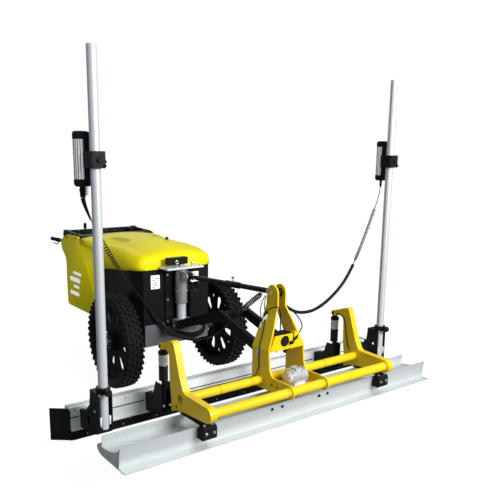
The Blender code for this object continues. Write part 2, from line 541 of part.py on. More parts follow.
def hood_room(bm):
    prism(bm, [(1.5415, 0.90), (1.5415, 1.011), (1.566, 1.068), (1.633, 1.103), (1.760, 1.120), (2.000, 1.123),
               (2.300, 1.107), (2.555, 1.0855), (2.555, 1.0345), (2.1605, 1.0345), (2.1605, 0.90)],
          0, -SIDE + 0.004, SIDE - 0.004)


room = cutter("hood_room", hood_room)
cut(room, cutter("hood_room_plan", lambda bm: prism(bm, hood_sides(SIDE - 0.004, 1.5415), 2, 0.80, 1.35)), "INTERSECT")
cut(hood, room)
cut(hood, cutter("hood_mouth", lambda bm: box(bm, (-0.33, 2.15, 0.940), (0.33, 2.19, 1.020))))

# rear cover: four walls and a top with the console's seat, open underneath
COVER = [(WAIST_Y + 0.004, 0.420), (2.882, 0.420), (2.884, 0.640), (2.880, 0.810), (2.892, 0.855), (2.925, 0.893),
         (2.962, 0.920), (2.983, 0.955), (TAIL_Y, 0.985), (TAIL_Y, 1.010), (TAIL_Y - 0.010, 1.0295),
         (WAIST_Y + 0.004, 1.0295)]
COVER_ROOM = [(WAIST_Y - 0.01 if y < WAIST_Y + 0.02 else y, 0.40 if z < 0.43 else z) for y, z in inset(COVER, 0.004)]
cover = closed(lambda bm: prism(bm, COVER, 0, -SIDE, SIDE), "rear_cover", "yellow", smooth=25)
cut(cover, cutter("cover_room", lambda bm: prism(bm, COVER_ROOM, 0, -SIDE + 0.004, SIDE - 0.004)))
SLOTS = ((2.600, 2.815, 0.533, 0.569), (2.592, 2.735, 0.604, 0.630), (2.568, 2.812, 0.658, 0.700),
         (2.538, 2.732, 0.728, 0.755))


def cover_slots(bm):
    for y0, y1, z0, z1 in SLOTS:
        for s in (-1, 1):
            box(bm, (s * SIDE - 0.01, y0, z0), (s * SIDE + 0.01, y1, z1))


cut(cover, cutter("cover_slots", cover_slots))
round_box("power_unit", (-0.150, 2.230, 0.4365), (0.150, 2.530, 0.760), 0.012, "grey")
round_box("counterweight", (-0.270, 2.626, 0.4365), (0.270, 2.868, 0.690), 0.010, "iron")
closed(lambda bm: rod(bm, (-0.560, *AXLE), (0.560, *AXLE), 0.0300, 32, 0.003), "axle", "steel", smooth=40,
       pivot=(0, *AXLE))

# ---- wheels: knobby tyre on a cast rim with long holes ----
X0, X1 = TYRE_X
for side, s in SIDES:
    start = (s * X0, *AXLE)
    width = X1 - X0
    bm = bmesh.new()
    lathe(bm, [(RIM_R, 0.012), (RIM_R + 0.030, 0.001), (0.345, 0.0), (0.366, 0.012), (TYRE_R, 0.030),
               (TYRE_R, width - 0.030), (0.366, width - 0.012), (0.345, width), (RIM_R + 0.030, width - 0.001),
               (RIM_R, width - 0.012), (RIM_R, 0.012)], start, (s, 0, 0), 48)
    finish("tyre_" + side, bm, "rubber", smooth=35, pivot=(s * (X0 + X1) / 2, *AXLE))
    bm = bmesh.new()
    r = RIM_R - GAP
    lathe(bm, [(0.0303, 0.020), (0.065, 0.020), (0.075, 0.060), (0.265, 0.064), (0.285, 0.040), (0.288, 0.014),
               (r, 0.014), (r, width - 0.014), (0.288, width - 0.014), (0.285, 0.100), (0.265, 0.078),
               (0.080, 0.074), (0.068, 0.130), (0.0303, 0.130), (0.0303, 0.020)], start, (s, 0, 0), 48)
    rim = finish("rim_" + side, bm, "black", smooth=35, pivot=(s * (X0 + X1) / 2, *AXLE))

    def rim_holes(bm):
        """Eight long holes, wider outside, and a small tapered hole near the rim between each two of them."""
        for i in range(16):
            a = 2 * math.pi * (i + 0.55) / 16
            if i % 2:
                pts = arc((0.240, 0), 0.017, -75, 75, 4) + [(0.205, 0.004), (0.205, -0.004)]
            else:
                pts = arc((0.214, 0), 0.030, -90, 90, 6) + arc((0.152, 0), 0.020, 90, 270, 5)
            turned = [(AXLE[0] + u * math.cos(a) - v * math.sin(a), AXLE[1] + u * math.sin(a) + v * math.cos(a))
                      for u, v in pts]
            lo, hi = sorted((s * (X0 + 0.02), s * (X0 + 0.12)))
            prism(bm, turned, 0, lo, hi)
    cut(rim, cutter("rim_holes_" + side, rim_holes))

# ---- console, joystick, stop button, handlebar, prop stand ----
console = round_box("console", (-0.330, 2.600, 1.0300), (0.330, 2.975, 1.052), 0.006, "black")
STICK, BUTTON = (-0.170, 2.900), (0.120, 2.870)
cut(console, cutter("joystick_well", lambda bm: rod(bm, (*STICK, 1.0345), (*STICK, 1.10), 0.0300, 32)))
cut(console, cutter("button_well", lambda bm: rod(bm, (*BUTTON, 1.0345), (*BUTTON, 1.10), 0.0110, 24)))
closed(lambda bm: lathe(bm, [(0, -0.0100), (0.0050, -0.00866), (0.00866, -0.0050), (0.0100, 0), (0.00866, 0.0050),
                             (0.0050, 0.00866), (0.0050, 0.060),
                             (0.014, 0.070), (0.015, 0.108), (0.009, 0.118), (0, 0.118)],
                        (-0.170, 2.900, 1.0452), (0, 0, 1), 20), "joystick", "black", smooth=40,
       pivot=(-0.170, 2.900, 1.0452))
closed(lambda bm: lathe(bm, [(0, 0), (0.0105, 0), (0.0105, 0.0220), (0.024, 0.0225), (0.024, 0.032), (0.018, 0.040),
                             (0, 0.041)], (0.120, 2.870, 1.0395), (0, 0, 1), 24), "stop_button", "black", smooth=40,
       pivot=(0.120, 2.870, 1.0395))


def bar_run():
    """Route of the handlebar: two grips that reach back and a cross run behind the cover."""
    left = [(-0.345, 3.290, 0.985), (-0.345, 3.100, 0.990), (-0.335, 3.055, 0.990), (-0.300, 3.030, 0.990)]
    return left + [(-x, y, z) for x, y, z in reversed(left)]


curve = bpy.data.curves.new("handlebar_curve", "CURVE")
curve.dimensions = "3D"
curve.bevel_depth = 0.015
curve.bevel_resolution = 3
curve.use_fill_caps = True
spline = curve.splines.new("POLY")
route = bar_run()
spline.points.add(len(route) - 1)
for point, co in zip(spline.points, route):
    point.co = (*co, 1.0)
holder = bpy.data.objects.new("handlebar_curve", curve)
PARTS.objects.link(holder)
mesh = bpy.data.meshes.new_from_object(holder)
bpy.data.objects.remove(holder, do_unlink=True)
bm = bmesh.new()
bm.from_mesh(mesh)
bpy.data.meshes.remove(mesh)
bar = finish("handlebar", bm, "black", smooth=50)
cut(bar, cutter("bar_stays", lambda bm: [box(bm, (x - 0.02, TAIL_Y + GAP, 0.978), (x + 0.02, 3.033, 1.002))
                                         for x in (-0.22, 0.22)]), "UNION")

bm = bmesh.new()
rod(bm, (0, STAND[0], 0.010), (0, STAND[0], STAND[1] - 0.030), 0.018, 20)
stand = finish("prop_stand", bm, "steel", smooth=35, pivot=(0, *STAND))
cut(stand, cutter("stand_foot", lambda bm: box(bm, (-0.060, STAND[0] - 0.060, 0.0), (0.060, STAND[0] + 0.060, 0.012))),
    "UNION")
for s in (-1, 1):
    lo, hi = sorted((s * 0.0145, s * 0.0225))
    fork = [(STAND[0] - 0.018, STAND[1] - 0.060)] + arc(STAND, 0.018, 180, 0, 8) + [(STAND[0] + 0.018, STAND[1] - 0.060)]
    cut(stand, cutter("stand_fork_%d" % (s > 0), lambda bm: prism(bm, fork, 0, lo, hi)), "UNION")
cut(stand, cutter("stand_yoke", lambda bm: box(bm, (-0.0225, STAND[0] - 0.018, STAND[1] - 0.060),
                                               (0.0225, STAND[0] + 0.018, STAND[1] - 0.026))), "UNION")
cut(stand, cutter("stand_pin", lambda bm: rod(bm, (-0.026, *STAND), (0.026, *STAND), 0.0060, 16)), "UNION")


# ---- cords ----
def smooth_route(points, count):
    """Catmull-Rom curve through the route points, sampled evenly."""
    pts = [Vector(p) for p in points]
    pts = [2 * pts[0] - pts[1]] + pts + [2 * pts[-1] - pts[-2]]
    dense = []
    for i in range(1, len(pts) - 2):
        p0, p1, p2, p3 = pts[i - 1:i + 3]
        for k in range(24):
            t = k / 24
            dense.append(0.5 * (2 * p1 + (p2 - p0) * t + (2 * p0 - 5 * p1 + 4 * p2 - p3) * t * t
                                + (3 * p1 - p0 - 3 * p2 + p3) * t ** 3))
    dense.append(pts[-2])
    lengths = [0.0]
    for a, b in zip(dense, dense[1:]):
        lengths.append(lengths[-1] + (b - a).length)
    out = []
    j = 0
    for k in range(count):
        want = lengths[-1] * k / (count - 1)
        while j < len(dense) - 2 and lengths[j + 1] < want:
            j += 1
        step = lengths[j + 1] - lengths[j]
        out.append(dense[j].lerp(dense[j + 1], min(max((want - lengths[j]) / step, 0.0), 1.0)))
    return out


CORDS = {
    "cord_left": ((-MX - 0.031, MY + 0.102, 1.634), (-MX - 0.030, MY + 0.100, 1.560), (-MX + 0.010, MY + 0.075, 1.430),
                  (-1.080, 0.489, 1.287), (-0.960, 0.530, 1.115), (-0.800, 0.570, 0.920), (-0.700, 0.590, 0.795),
                  (-0.600, 0.605, 0.705), (-0.480, 0.625, 0.645), (-0.360, 0.645, 0.612), (-0.250, 0.640, 0.625),
                  (-0.175, 0.618, 0.682), (-0.130, 0.612, 0.718), (-0.085, 0.618, 0.728), (-0.030, 0.665, 0.742),
                  (0.015, 0.725, 0.750), (0.050, 0.770, 0.7435)),
    "cord_right": ((MX + 0.031, MY + 0.102, 1.634), (MX + 0.018, MY + 0.097, 1.550), (MX - 0.050, MY + 0.075, 1.430),
                   (0.960, 0.480, 1.150), (0.780, 0.440, 0.940), (0.600, 0.410, 0.822), (0.420, 0.385, 0.762),
                   (0.260, 0.365, 0.768), (0.150, 0.352, 0.815), (0.075, 0.330, 0.868)),
}
for name, points in CORDS.items():
    curve = bpy.data.curves.new(name, "CURVE")
    curve.dimensions = "3D"
    curve.bevel_depth = 0.008
    curve.bevel_resolution = 2
    curve.use_fill_caps = True
    spline = curve.splines.new("POLY")
    way = smooth_route(points, 56)
    spline.points.add(len(way) - 1)
    for point, co in zip(spline.points, way):
        point.co = (*co, 1.0)
    holder = bpy.data.objects.new(name + "_curve", curve)
    PARTS.objects.link(holder)
    mesh = bpy.data.meshes.new_from_object(holder)
    bpy.data.objects.remove(holder, do_unlink=True)
    bm = bmesh.new()
    bm.from_mesh(mesh)
    bpy.data.meshes.remove(mesh)
    finish(name, bm, "black", smooth=60)

for ob in list(PARTS.objects) + list(TOOLS.objects):
    ob.location += SHIFT
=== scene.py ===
"""The looks of the walk-behind laser screed: materials, tyres, hood, receivers, cables and small fittings.

Positions are written in the machine's own frame (x from the centre plane, y back from the trowel's lip, z up)
and moved to the row's frame by SHIFT, which is read from the axle's box. Lengths are in metres.
"""
import math

import bmesh
import bpy
from mathutils import Matrix, Vector


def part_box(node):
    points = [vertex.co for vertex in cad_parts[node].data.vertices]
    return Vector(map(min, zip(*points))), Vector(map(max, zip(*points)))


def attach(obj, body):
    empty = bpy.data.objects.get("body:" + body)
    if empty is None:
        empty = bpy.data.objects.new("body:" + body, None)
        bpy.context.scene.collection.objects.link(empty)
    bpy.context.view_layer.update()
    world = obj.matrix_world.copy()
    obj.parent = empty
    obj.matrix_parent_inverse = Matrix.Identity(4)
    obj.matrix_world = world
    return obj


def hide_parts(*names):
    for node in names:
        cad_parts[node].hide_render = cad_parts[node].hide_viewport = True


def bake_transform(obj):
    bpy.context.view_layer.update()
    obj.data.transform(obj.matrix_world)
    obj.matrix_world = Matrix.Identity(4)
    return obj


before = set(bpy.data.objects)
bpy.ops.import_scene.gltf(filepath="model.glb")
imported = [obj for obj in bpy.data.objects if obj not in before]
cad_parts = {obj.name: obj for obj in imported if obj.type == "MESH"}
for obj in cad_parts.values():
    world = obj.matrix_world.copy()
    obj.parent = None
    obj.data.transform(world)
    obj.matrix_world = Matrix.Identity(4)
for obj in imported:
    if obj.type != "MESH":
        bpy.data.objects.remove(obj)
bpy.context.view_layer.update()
AXLE_AT = (1.678, 0.3725)
low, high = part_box("axle")
SHIFT = (Vector(low) + Vector(high)) / 2 - Vector((0, *AXLE_AT))
BOTH = (-1, 1)
SIDES = (("left", -1), ("right", 1))
UP, RIGHT, AHEAD = (0, 0, 1), (1, 0, 0), (0, -1, 0)
MX, MY = 1.162, 0.421                           # masts
AX, AY = 0.7325, 0.49                          # height actuators
HALF, WAIST = 0.375, 2.165                      # hood and cover: half width, and where they meet
FRONT, REAR = (-0.014, 0.4, 0.03), (0.261, 0.405, 0.028)    # frame tubes: y, z, radius


# ---------------------------------------------------------------- camera, light, floor
def shown(name, data):
    """A new object in the scene that holds data."""
    ob = bpy.data.objects.new(name, data)
    bpy.context.scene.collection.objects.link(ob)
    return ob


def aim_camera():
    yaw, pitch, roll = math.radians(37.47), math.radians(-12.09), math.radians(0.83)
    look = Vector((math.cos(pitch) * math.sin(yaw), math.cos(pitch) * math.cos(yaw), math.sin(pitch)))
    right = look.cross(Vector(UP)).normalized()
    up = right.cross(look)
    side = math.cos(roll) * right + math.sin(roll) * up
    top = -math.sin(roll) * right + math.cos(roll) * up
    data = bpy.data.cameras.new("camera")
    data.sensor_width = 36.0
    data.lens = 45.97
    data.shift_y = 0.08
    camera = shown("camera", data)
    place = Matrix((side, top, -look)).transposed().to_4x4()
    place.translation = Vector((-2.595, -2.764, 1.822)) + SHIFT
    camera.matrix_world = place
    bpy.context.scene.camera = camera


def area_light(name, at, target, size, power):
    data = bpy.data.lights.new(name, "AREA")
    data.size = size
    data.energy = power
    lamp = shown(name, data)
    lamp.location = Vector(at)
    lamp.rotation_euler = (Vector(target) - Vector(at)).to_track_quat("-Z", "Y").to_euler()


def put(node, **values):
    """Sets inputs by name, with an underscore for each space; another node's output is linked instead."""
    for name, value in values.items():
        entry = node.inputs[name.replace("_", " ")]
        if isinstance(value, bpy.types.NodeSocket):
            node.id_data.links.new(value, entry)
        else:
            entry.default_value = value


def add(nodes, kind, **values):
    made = nodes.new("ShaderNode" + kind)
    put(made, **values)
    return made


def mix_colours(nodes, blend, **values):
    mix = nodes.new("ShaderNodeMix")
    mix.data_type = "RGBA"
    mix.blend_type = blend
    put(mix, **values)
    return mix.outputs["Result"]


def ramp(nodes, value, *stops):
    """The colour of a ramp through two stops of (position, colour), read at value."""
    made = add(nodes, "ValToRGB", Fac=value)
    for element, (position, colour) in zip(made.color_ramp.elements, stops):
        element.position = position
        element.color = (*colour, 1)
    return made.outputs["Color"]


def studio():
    """White to the camera, and a dimmer pale sky as fill, with one key light and a weak one behind."""
    bpy.context.scene.view_settings.view_transform = "Standard"
    world = bpy.data.worlds.new("studio")
    world.use_nodes = True
    bpy.context.scene.world = world
    nodes, links = world.node_tree.nodes, world.node_tree.links
    split = add(nodes, "SeparateXYZ", Vector=add(nodes, "TexCoord").outputs["Generated"])
    lift = add(nodes, "MapRange", Value=split.outputs["Z"], From_Min=-1.0, From_Max=1.0)
    fill = nodes["Background"]
    put(fill, Color=ramp(nodes, lift.outputs[0], (0.35, (0.16, 0.16, 0.165)), (0.62, (0.4, 0.42, 0.44))))
    seen = add(nodes, "Background", Color=(1, 1, 1, 1), Strength=1.0)
    mix = add(nodes, "MixShader", Fac=add(nodes, "LightPath").outputs["Is Camera Ray"])
    links.new(fill.outputs["Background"], mix.inputs[1])
    links.new(seen.outputs["Background"], mix.inputs[2])
    put(nodes["World Output"], Surface=mix.outputs["Shader"])
    area_light("key", (1.2, -6.4, 3.6), (0.0, -0.4, 0.6), 2.4, 520)
    area_light("rear", (2.4, 6.0, 3.6), (0.0, 0.4, 0.6), 3.0, 45)


def pale_floor():
    bm = bmesh.new()
    bmesh.ops.create_grid(bm, x_segments=2, y_segments=2, size=40.0)
    mesh = bpy.data.meshes.new("floor")
    bm.to_mesh(mesh)
    bm.free()
    floor = shown("floor", mesh)
    floor.location.z = -0.0005
    floor.visible_diffuse = False
    floor.visible_glossy = False
    mat = bpy.data.materials.new("floor_white")
    mat.use_nodes = True
    put(mat.node_tree.nodes["Principled BSDF"], Base_Color=(0.16, 0.16, 0.16, 1), Roughness=0.9,
        Specular_IOR_Level=0.1, Emission_Color=(1, 1, 1, 1), Emission_Strength=0.93)
    mesh.materials.append(mat)


# ---------------------------------------------------------------- materials
def height_bands(nodes, height, bands):
    """Colour and metal in steps up the piece: bands are (z, colour, metal), and the last one ends them."""
    z0, z1 = bands[0][0], bands[-1][0]
    lift = add(nodes, "MapRange", Value=height, From_Min=z0, From_Max=z1)
    outputs = []
    for pick in (lambda band: band[1], lambda band: (band[2],) * 3):
        steps = add(nodes, "ValToRGB", Fac=lift.outputs[0])
        steps.color_ramp.interpolation = "CONSTANT"
        while len(steps.color_ramp.elements) < len(bands) - 1:
            steps.color_ramp.elements.new(0.5)
        for item, band in zip(steps.color_ramp.elements, bands[:-1]):
            item.position = (band[0] - z0) / (z1 - z0)
            item.color = (*pick(band), 1)
        outputs.append(steps.outputs["Color"])
    return outputs


def surface(name, colour, other, rough, metal=0.0, patch=20, grain=600, bump=0.06, spread=0.08, spec=0.28,
            stretch=(1, 1, 1), coat=0.0, dust=None, dust_top=0.5, bands=None, glow=0.0):
    """Two noises: broad patches shift the colour towards other, fine grain moves roughness and bump (in mm).
    dust tints the lowest parts up to dust_top."""
    mat = bpy.data.materials.new(name)
    mat.use_nodes = True
    nodes = mat.node_tree.nodes
    shader = nodes["Principled BSDF"]
    coord = add(nodes, "TexCoord").outputs["Object"]
    height = add(nodes, "SeparateXYZ", Vector=coord).outputs["Z"]
    place = add(nodes, "Mapping", Vector=coord, Scale=stretch).outputs[0]
    broad = add(nodes, "TexNoise", Vector=place, Scale=patch, Detail=6.0, Roughness=0.6).outputs["Fac"]
    fine = add(nodes, "TexNoise", Vector=place, Scale=grain, Detail=3.0).outputs["Fac"]
    dull, shiny = min(rough + spread, 1.0), max(rough - spread, 0.02)
    level = add(nodes, "MapRange", Value=fine, To_Min=shiny, To_Max=dull)
    dent = add(nodes, "Bump", Strength=1.0, Distance=bump / 1000, Height=fine)
    result = ramp(nodes, broad, (0.32, other), (0.62, colour))
    if bands:
        steps, metal = height_bands(nodes, height, bands)
        result = mix_colours(nodes, "MULTIPLY", Factor=1.0, A=steps, B=result)
    if dust:
        fade = add(nodes, "MapRange", Value=height, From_Min=0.0, From_Max=dust_top, To_Min=0.75, To_Max=0.0)
        spots = nodes.new("ShaderNodeMath")
        spots.operation = "MULTIPLY"
        mat.node_tree.links.new(fade.outputs[0], spots.inputs[0])
        mat.node_tree.links.new(broad, spots.inputs[1])
        result = mix_colours(nodes, "MIX", Factor=spots.outputs[0], A=result, B=(*dust, 1))
    put(shader, Base_Color=result, Metallic=metal, Roughness=level.outputs[0], Specular_IOR_Level=spec,
        Normal=dent.outputs["Normal"])
    if coat:
        put(shader, Coat_Weight=coat, Coat_Roughness=0.12)
    # Painted light: glow makes the surface emit light, so it shines without a lamp.
    if glow:
        put(shader, Emission_Color=(1, 1, 1, 1), Emission_Strength=glow)
    return mat


# name, colour, other colour, roughness, metal, patch scale, grain scale, bump in mm, spread of roughness
M = {
    "yellow": surface("paint_yellow", (0.8, 0.57, 0.006), (0.74, 0.51, 0.005), 0.4, 0, 2.2, 420, 0.12, 0.06,
                      coat=0.08),
    "hood": surface("hood_yellow", (0.86, 0.75, 0.006), (0.81, 0.69, 0.005), 0.5, 0, 1.6, 700, 0.08, 0.05,
                    0.1),
    "seam": surface("seam_shadow", (0.16, 0.105, 0.002), (0.11, 0.07, 0.002), 0.6, 0, 20, 500, 0.05, 0.05,
                    0.1),
    "black": surface("paint_black", (0.0055, 0.0055, 0.0062), (0.0085, 0.0085, 0.0092), 0.46, 0, 5, 500,
                     0.1, 0.1, 0.14),
    "plastic": surface("plastic_black", (0.007, 0.007, 0.0078), (0.011, 0.011, 0.012), 0.5, 0, 9, 1200, 0.08,
                       0.08, 0.14),
    "iron": surface("casting_black", (0.0055, 0.0055, 0.006), (0.0095, 0.0092, 0.009), 0.58, 0, 14, 900, 0.3,
                    0.12, 0.14),
    "tyre": surface("tyre_rubber", (0.007, 0.007, 0.0075), (0.012, 0.0118, 0.0115), 0.74, 0, 12, 700, 0.35,
                    0.12, 0.14, dust=(0.1, 0.09, 0.08), dust_top=0.22),
    "rubber": surface("rubber_black", (0.0065, 0.0065, 0.0068), (0.011, 0.011, 0.011), 0.72, 0, 20, 900,
                      0.2, 0.1, 0.14),
    "cable": surface("cable_sheath", (0.006, 0.006, 0.0066), (0.0095, 0.0095, 0.01), 0.5, 0, 30, 900, 0.05,
                     0.08, 0.14),
    "dark": surface("shadow_gap", (0.006, 0.006, 0.006), (0.012, 0.012, 0.012), 0.85, 0, 10, 400, 0.05, 0.05),
    "alloy": surface("extruded_alloy", (0.62, 0.655, 0.655), (0.52, 0.555, 0.56), 0.42, 0.3, 1.5, 240, 0.05,
                     0.1, stretch=(0.35, 6, 6)),
    "beam": surface("beam_alloy", (0.84, 0.87, 0.88), (0.6, 0.63, 0.64), 0.4, 0.1, 1.2, 240, 0.05, 0.1,
                    stretch=(0.6, 6, 2)),
    "mast": surface("mast_alloy", (0.74, 0.77, 0.79), (0.66, 0.69, 0.72), 0.34, 0.4, 2, 300, 0.04, 0.08,
                    stretch=(6, 6, 0.25)),
    "cast_alloy": surface("cast_alloy", (0.76, 0.77, 0.78), (0.56, 0.57, 0.59), 0.4, 0.45, 25, 900, 0.2,
                          0.12),
    "steel": surface("zinc_steel", (0.62, 0.63, 0.64), (0.48, 0.49, 0.5), 0.34, 0.9, 20, 600, 0.06, 0.1),
    "post": surface("grey_steel", (0.4, 0.41, 0.42), (0.28, 0.29, 0.3), 0.42, 0.55, 9, 500, 0.08, 0.1),
    "bright": surface("bright_bolt", (0.8, 0.8, 0.8), (0.6, 0.6, 0.6), 0.28, 0.9, 60, 900, 0.04, 0.08),
    "spring": surface("spring_steel", (0.1, 0.1, 0.105), (0.05, 0.05, 0.055), 0.32, 0.85, 40, 900, 0.05,
                      0.08),
    "engine": surface("engine_casing", (0.13, 0.135, 0.15), (0.09, 0.09, 0.1), 0.5, 0.6, 12, 600, 0.2, 0.1),
    "grey": surface("belly_grey", (0.22, 0.23, 0.25), (0.16, 0.165, 0.18), 0.45, 0.3, 4, 400, 0.1, 0.1,
                    dust=(0.3, 0.28, 0.25), dust_top=0.4),
    "pale": surface("pale_panel", (0.8, 0.81, 0.82), (0.62, 0.63, 0.65), 0.5, 0, 45, 300, 0.1, 0.08),
    "white": surface("white_nylon", (0.82, 0.83, 0.84), (0.7, 0.71, 0.73), 0.42, 0, 40, 600, 0.06, 0.06),
    # Painted light: this pale sheet glows (emission 0.42), so the cover's slot panels and the nose's sight
    # panels shine white without a lamp.
    "sheet": surface("painted_glow_sheet", (0.9, 0.91, 0.92), (0.82, 0.83, 0.84), 0.35, 0, 40, 600, 0.06, 0.06,
                     glow=0.42),
    # Painted light: the receivers' window glows (emission 0.3) besides its clear coat.
    "window": surface("receiver_window", (0.72, 0.74, 0.76), (0.6, 0.62, 0.65), 0.16, 0, 14, 500, 0.04, 0.04,
                      stretch=(1, 1, 0.3), coat=0.6, glow=0.3),
    "actuator": surface("actuator_bands", (1, 1, 1), (0.85, 0.85, 0.85), 0.38, 0, 30, 700, 0.08, 0.08, bands=(
        (0.4, (0.013, 0.013, 0.014), 0.0), (0.5495, (0.62, 0.63, 0.64), 0.9),
        (0.6195, (0.013, 0.013, 0.014), 0.0), (0.8, (0, 0, 0), 0.0))),
    "bracket": surface("bracket_bands", (1, 1, 1), (0.85, 0.85, 0.85), 0.42, 0, 20, 600, 0.06, 0.08, 0.2,
                       bands=((0.4, (0.006, 0.006, 0.0066), 0.0), (0.93, (0.9, 0.91, 0.92), 0.25),
                              (1.0, (0, 0, 0), 0.0))),
}


# ---------------------------------------------------------------- mesh tools
def box(bm, lo, hi):
    verts = bmesh.ops.create_cube(bm, size=1.0)["verts"]
    bmesh.ops.scale(bm, verts=verts, vec=[hi[i] - lo[i] for i in range(3)])
    bmesh.ops.translate(bm, verts=verts, vec=[(hi[i] + lo[i]) / 2 for i in range(3)])
    return verts


def prism(bm, outline, axis, lo, hi):
    """The outline, drawn across the axis (0, 1 or 2), stretched from lo to hi along it."""
    rings = []
    for s in (lo, hi):
        rings.append([bm.verts.new((*p[:axis], s, *p[axis:])) for p in outline])
    bm.faces.new(rings[0])
    bm.faces.new(rings[1][::-1])
    bridge(bm, rings)


def side_plate(bm, outline, s, near, far):
    """A prism on side s, from near to far out from the centre plane."""
    prism(bm, outline, 0, *sorted((s * near, s * far)))


def bridge(bm, rings):
    """Joins each closed ring of vertices to the next; a ring of one vertex is a pole."""
    for p, q in zip(rings, rings[1:]):
        n = max(len(p), len(q))
        for i in range(n):
            j = (i + 1) % n
            if len(p) == 1:
                bm.faces.new((p[0], q[i], q[j]))
            elif len(q) == 1:
                bm.faces.new((p[i], p[j], q[0]))
            else:
                bm.faces.new((p[i], p[j], q[j], q[i]))


def circle(radius, sides):
    return [(radius * math.cos(2 * math.pi * i / sides), radius * math.sin(2 * math.pi * i / sides))
            for i in range(sides)]


def turned(axis):
    z = Vector(axis).normalized()
    x = Vector((1, 0, 0)) if abs(z.x) < 0.9 else Vector((0, 1, 0))
    y = z.cross(x).normalized()
    return Matrix((y.cross(z), y, z)).transposed().to_4x4()


def lathe(bm, profile, start, axis=UP, sides=32):
    """Turns a profile of (radius, height) round the axis; a radius of 0 is a pole."""
    turn = Matrix.Translation(start) @ turned(axis)
    rings = []
    for radius, height in profile:
        around = circle(radius, sides if radius > 1e-9 else 1)
        rings.append([bm.verts.new(turn @ Vector((x, y, height))) for x, y in around])
    bridge(bm, rings)


def rod(bm, a, b, radius, sides=20, chamfer=0.0):
    axis = Vector(b) - Vector(a)
    c, length = chamfer, axis.length
    profile = [(0, 0), (radius - c, 0), (radius, c), (radius, length - c), (radius - c, length), (0, length)]
    if not c:
        profile = [(0, 0), (radius, 0), (radius, length), (0, length)]
    lathe(bm, profile, a, axis, sides)


def stub(bm, at, run, radius, sides=14, chamfer=0.001):
    """A short rod from at, run being its length and direction."""
    rod(bm, at, Vector(at) + Vector(run), radius, sides, chamfer)


def band(bm, at, axis, inner, outer, height, sides=28):
    """A ring of square section that starts at the point at."""
    lathe(bm, [(inner, 0), (outer, 0), (outer, height), (inner, height)], at, axis, sides)


def hex_bolt(bm, at, axis, size, height):
    """A hexagon head on a round washer."""
    axis = Vector(axis).normalized()
    washer = Vector(at) + axis * 0.0016
    rod(bm, at, washer, size * 1.25, 16, 0.0004)
    profile = [(0, 0), (size * 0.96, 0), (size, 0.0008),
               (size, height - 0.001), (size * 0.9, height), (0, height)]
    lathe(bm, profile, washer, axis, 6)


def bolts(bm, points, axis, size, height):
    for at in points:
        hex_bolt(bm, at, axis, size, height)


def torus(bm, centre, axis, ring, thick, around=32, across=8):
    turn = Matrix.Translation(centre) @ turned(axis)
    rings = []
    for x, y in circle(1, around):
        section = [Vector(((ring + u) * x, (ring + u) * y, v)) for u, v in circle(thick, across)]
        rings.append([bm.verts.new(turn @ p) for p in section])
    bridge(bm, rings + rings[:1])


def tube(bm, points, radius, sides=10):
    """A round tube along points, with flat caps; radius may be a list."""
    pts = [Vector(p) for p in points]
    normal = None
    rings = []
    for i, p in enumerate(pts):
        ahead = (pts[min(i + 1, len(pts) - 1)] - pts[max(i - 1, 0)]).normalized()
        if normal is None:
            normal = ahead.orthogonal().normalized()
        normal = (normal - ahead * normal.dot(ahead)).normalized()
        other = ahead.cross(normal)
        r = radius[i] if isinstance(radius, (list, tuple)) else radius
        rings.append([bm.verts.new(p + normal * u + other * v) for u, v in circle(r, sides)])
    bridge(bm, rings)
    bm.faces.new(rings[0][::-1])
    bm.faces.new(rings[-1])


def hose(bm, route, count, radius, sides=8):
    tube(bm, smooth_route(route, count), radius, sides)


def smooth_route(points, count):
    """Catmull-Rom curve through the route points, sampled evenly."""
    pts = [Vector(p) for p in points]
    pts = [2 * pts[0] - pts[1]] + pts + [2 * pts[-1] - pts[-2]]
    dense = []
    for i in range(1, len(pts) - 2):
        p0, p1, p2, p3 = pts[i - 1:i + 3]
        for k in range(24):
            t = k / 24
            dense.append(0.5 * (2 * p1 + (p2 - p0) * t + (2 * p0 - 5 * p1 + 4 * p2 - p3) * t * t
                                + (3 * p1 - p0 - 3 * p2 + p3) * t ** 3))
    dense.append(pts[-2])
    return even(dense, count)


def even(dense, count):
    """The line again, with count points at even distances."""
    lengths = [0.0]
    for a, b in zip(dense, dense[1:]):
        lengths.append(lengths[-1] + (b - a).length)
    out, j = [], 0
    for k in range(count):
        want = lengths[-1] * k / (count - 1)
        while j < len(dense) - 2 and lengths[j + 1] < want:
            j += 1
        step = lengths[j + 1] - lengths[j]
        out.append(dense[j].lerp(dense[j + 1], min(max((want - lengths[j]) / step, 0.0), 1.0)))
    return out


def run_length(points):
    return sum((b - a).length for a, b in zip(points, points[1:]))


def arc(centre, radius, start, end, steps):
    return [(centre[0] + radius * math.cos(math.radians(start + (end - start) * i / steps)),
             centre[1] + radius * math.sin(math.radians(start + (end - start) * i / steps)))
            for i in range(steps + 1)]


def soften(ob, width, segments=2, angle=40):
    """Rounds the object's edges with a bevel modifier."""
    edges = ob.modifiers.new("soft_edges", "BEVEL")
    edges.width = width
    edges.segments = segments
    edges.limit_method = "ANGLE"
    edges.angle_limit = math.radians(angle)
    edges.harden_normals = True


def thicken(ob):
    sheet = ob.modifiers.new("sheet", "SOLIDIFY")
    sheet.thickness = 0.004
    sheet.offset = -1.0


def piece(name, bm, mat, slot, smooth=35, bevel=0.0, segments=2, replaces=()):
    """Turns bm, drawn in the machine's frame, into a named piece that still has to ride on a body."""
    bmesh.ops.recalc_face_normals(bm, faces=bm.faces)
    bmesh.ops.translate(bm, verts=bm.verts, vec=SHIFT)
    mesh = bpy.data.meshes.new(name)
    bm.to_mesh(mesh)
    bm.free()
    ob = shown(name, mesh)
    mesh.materials.append(M[mat])
    if smooth:
        mesh.polygons.foreach_set("use_smooth", [True] * len(mesh.polygons))
        mesh.set_sharp_from_angle(angle=math.radians(smooth))
    if bevel:
        soften(ob, bevel, segments)
    if replaces:
        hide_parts(*replaces)
    return ob


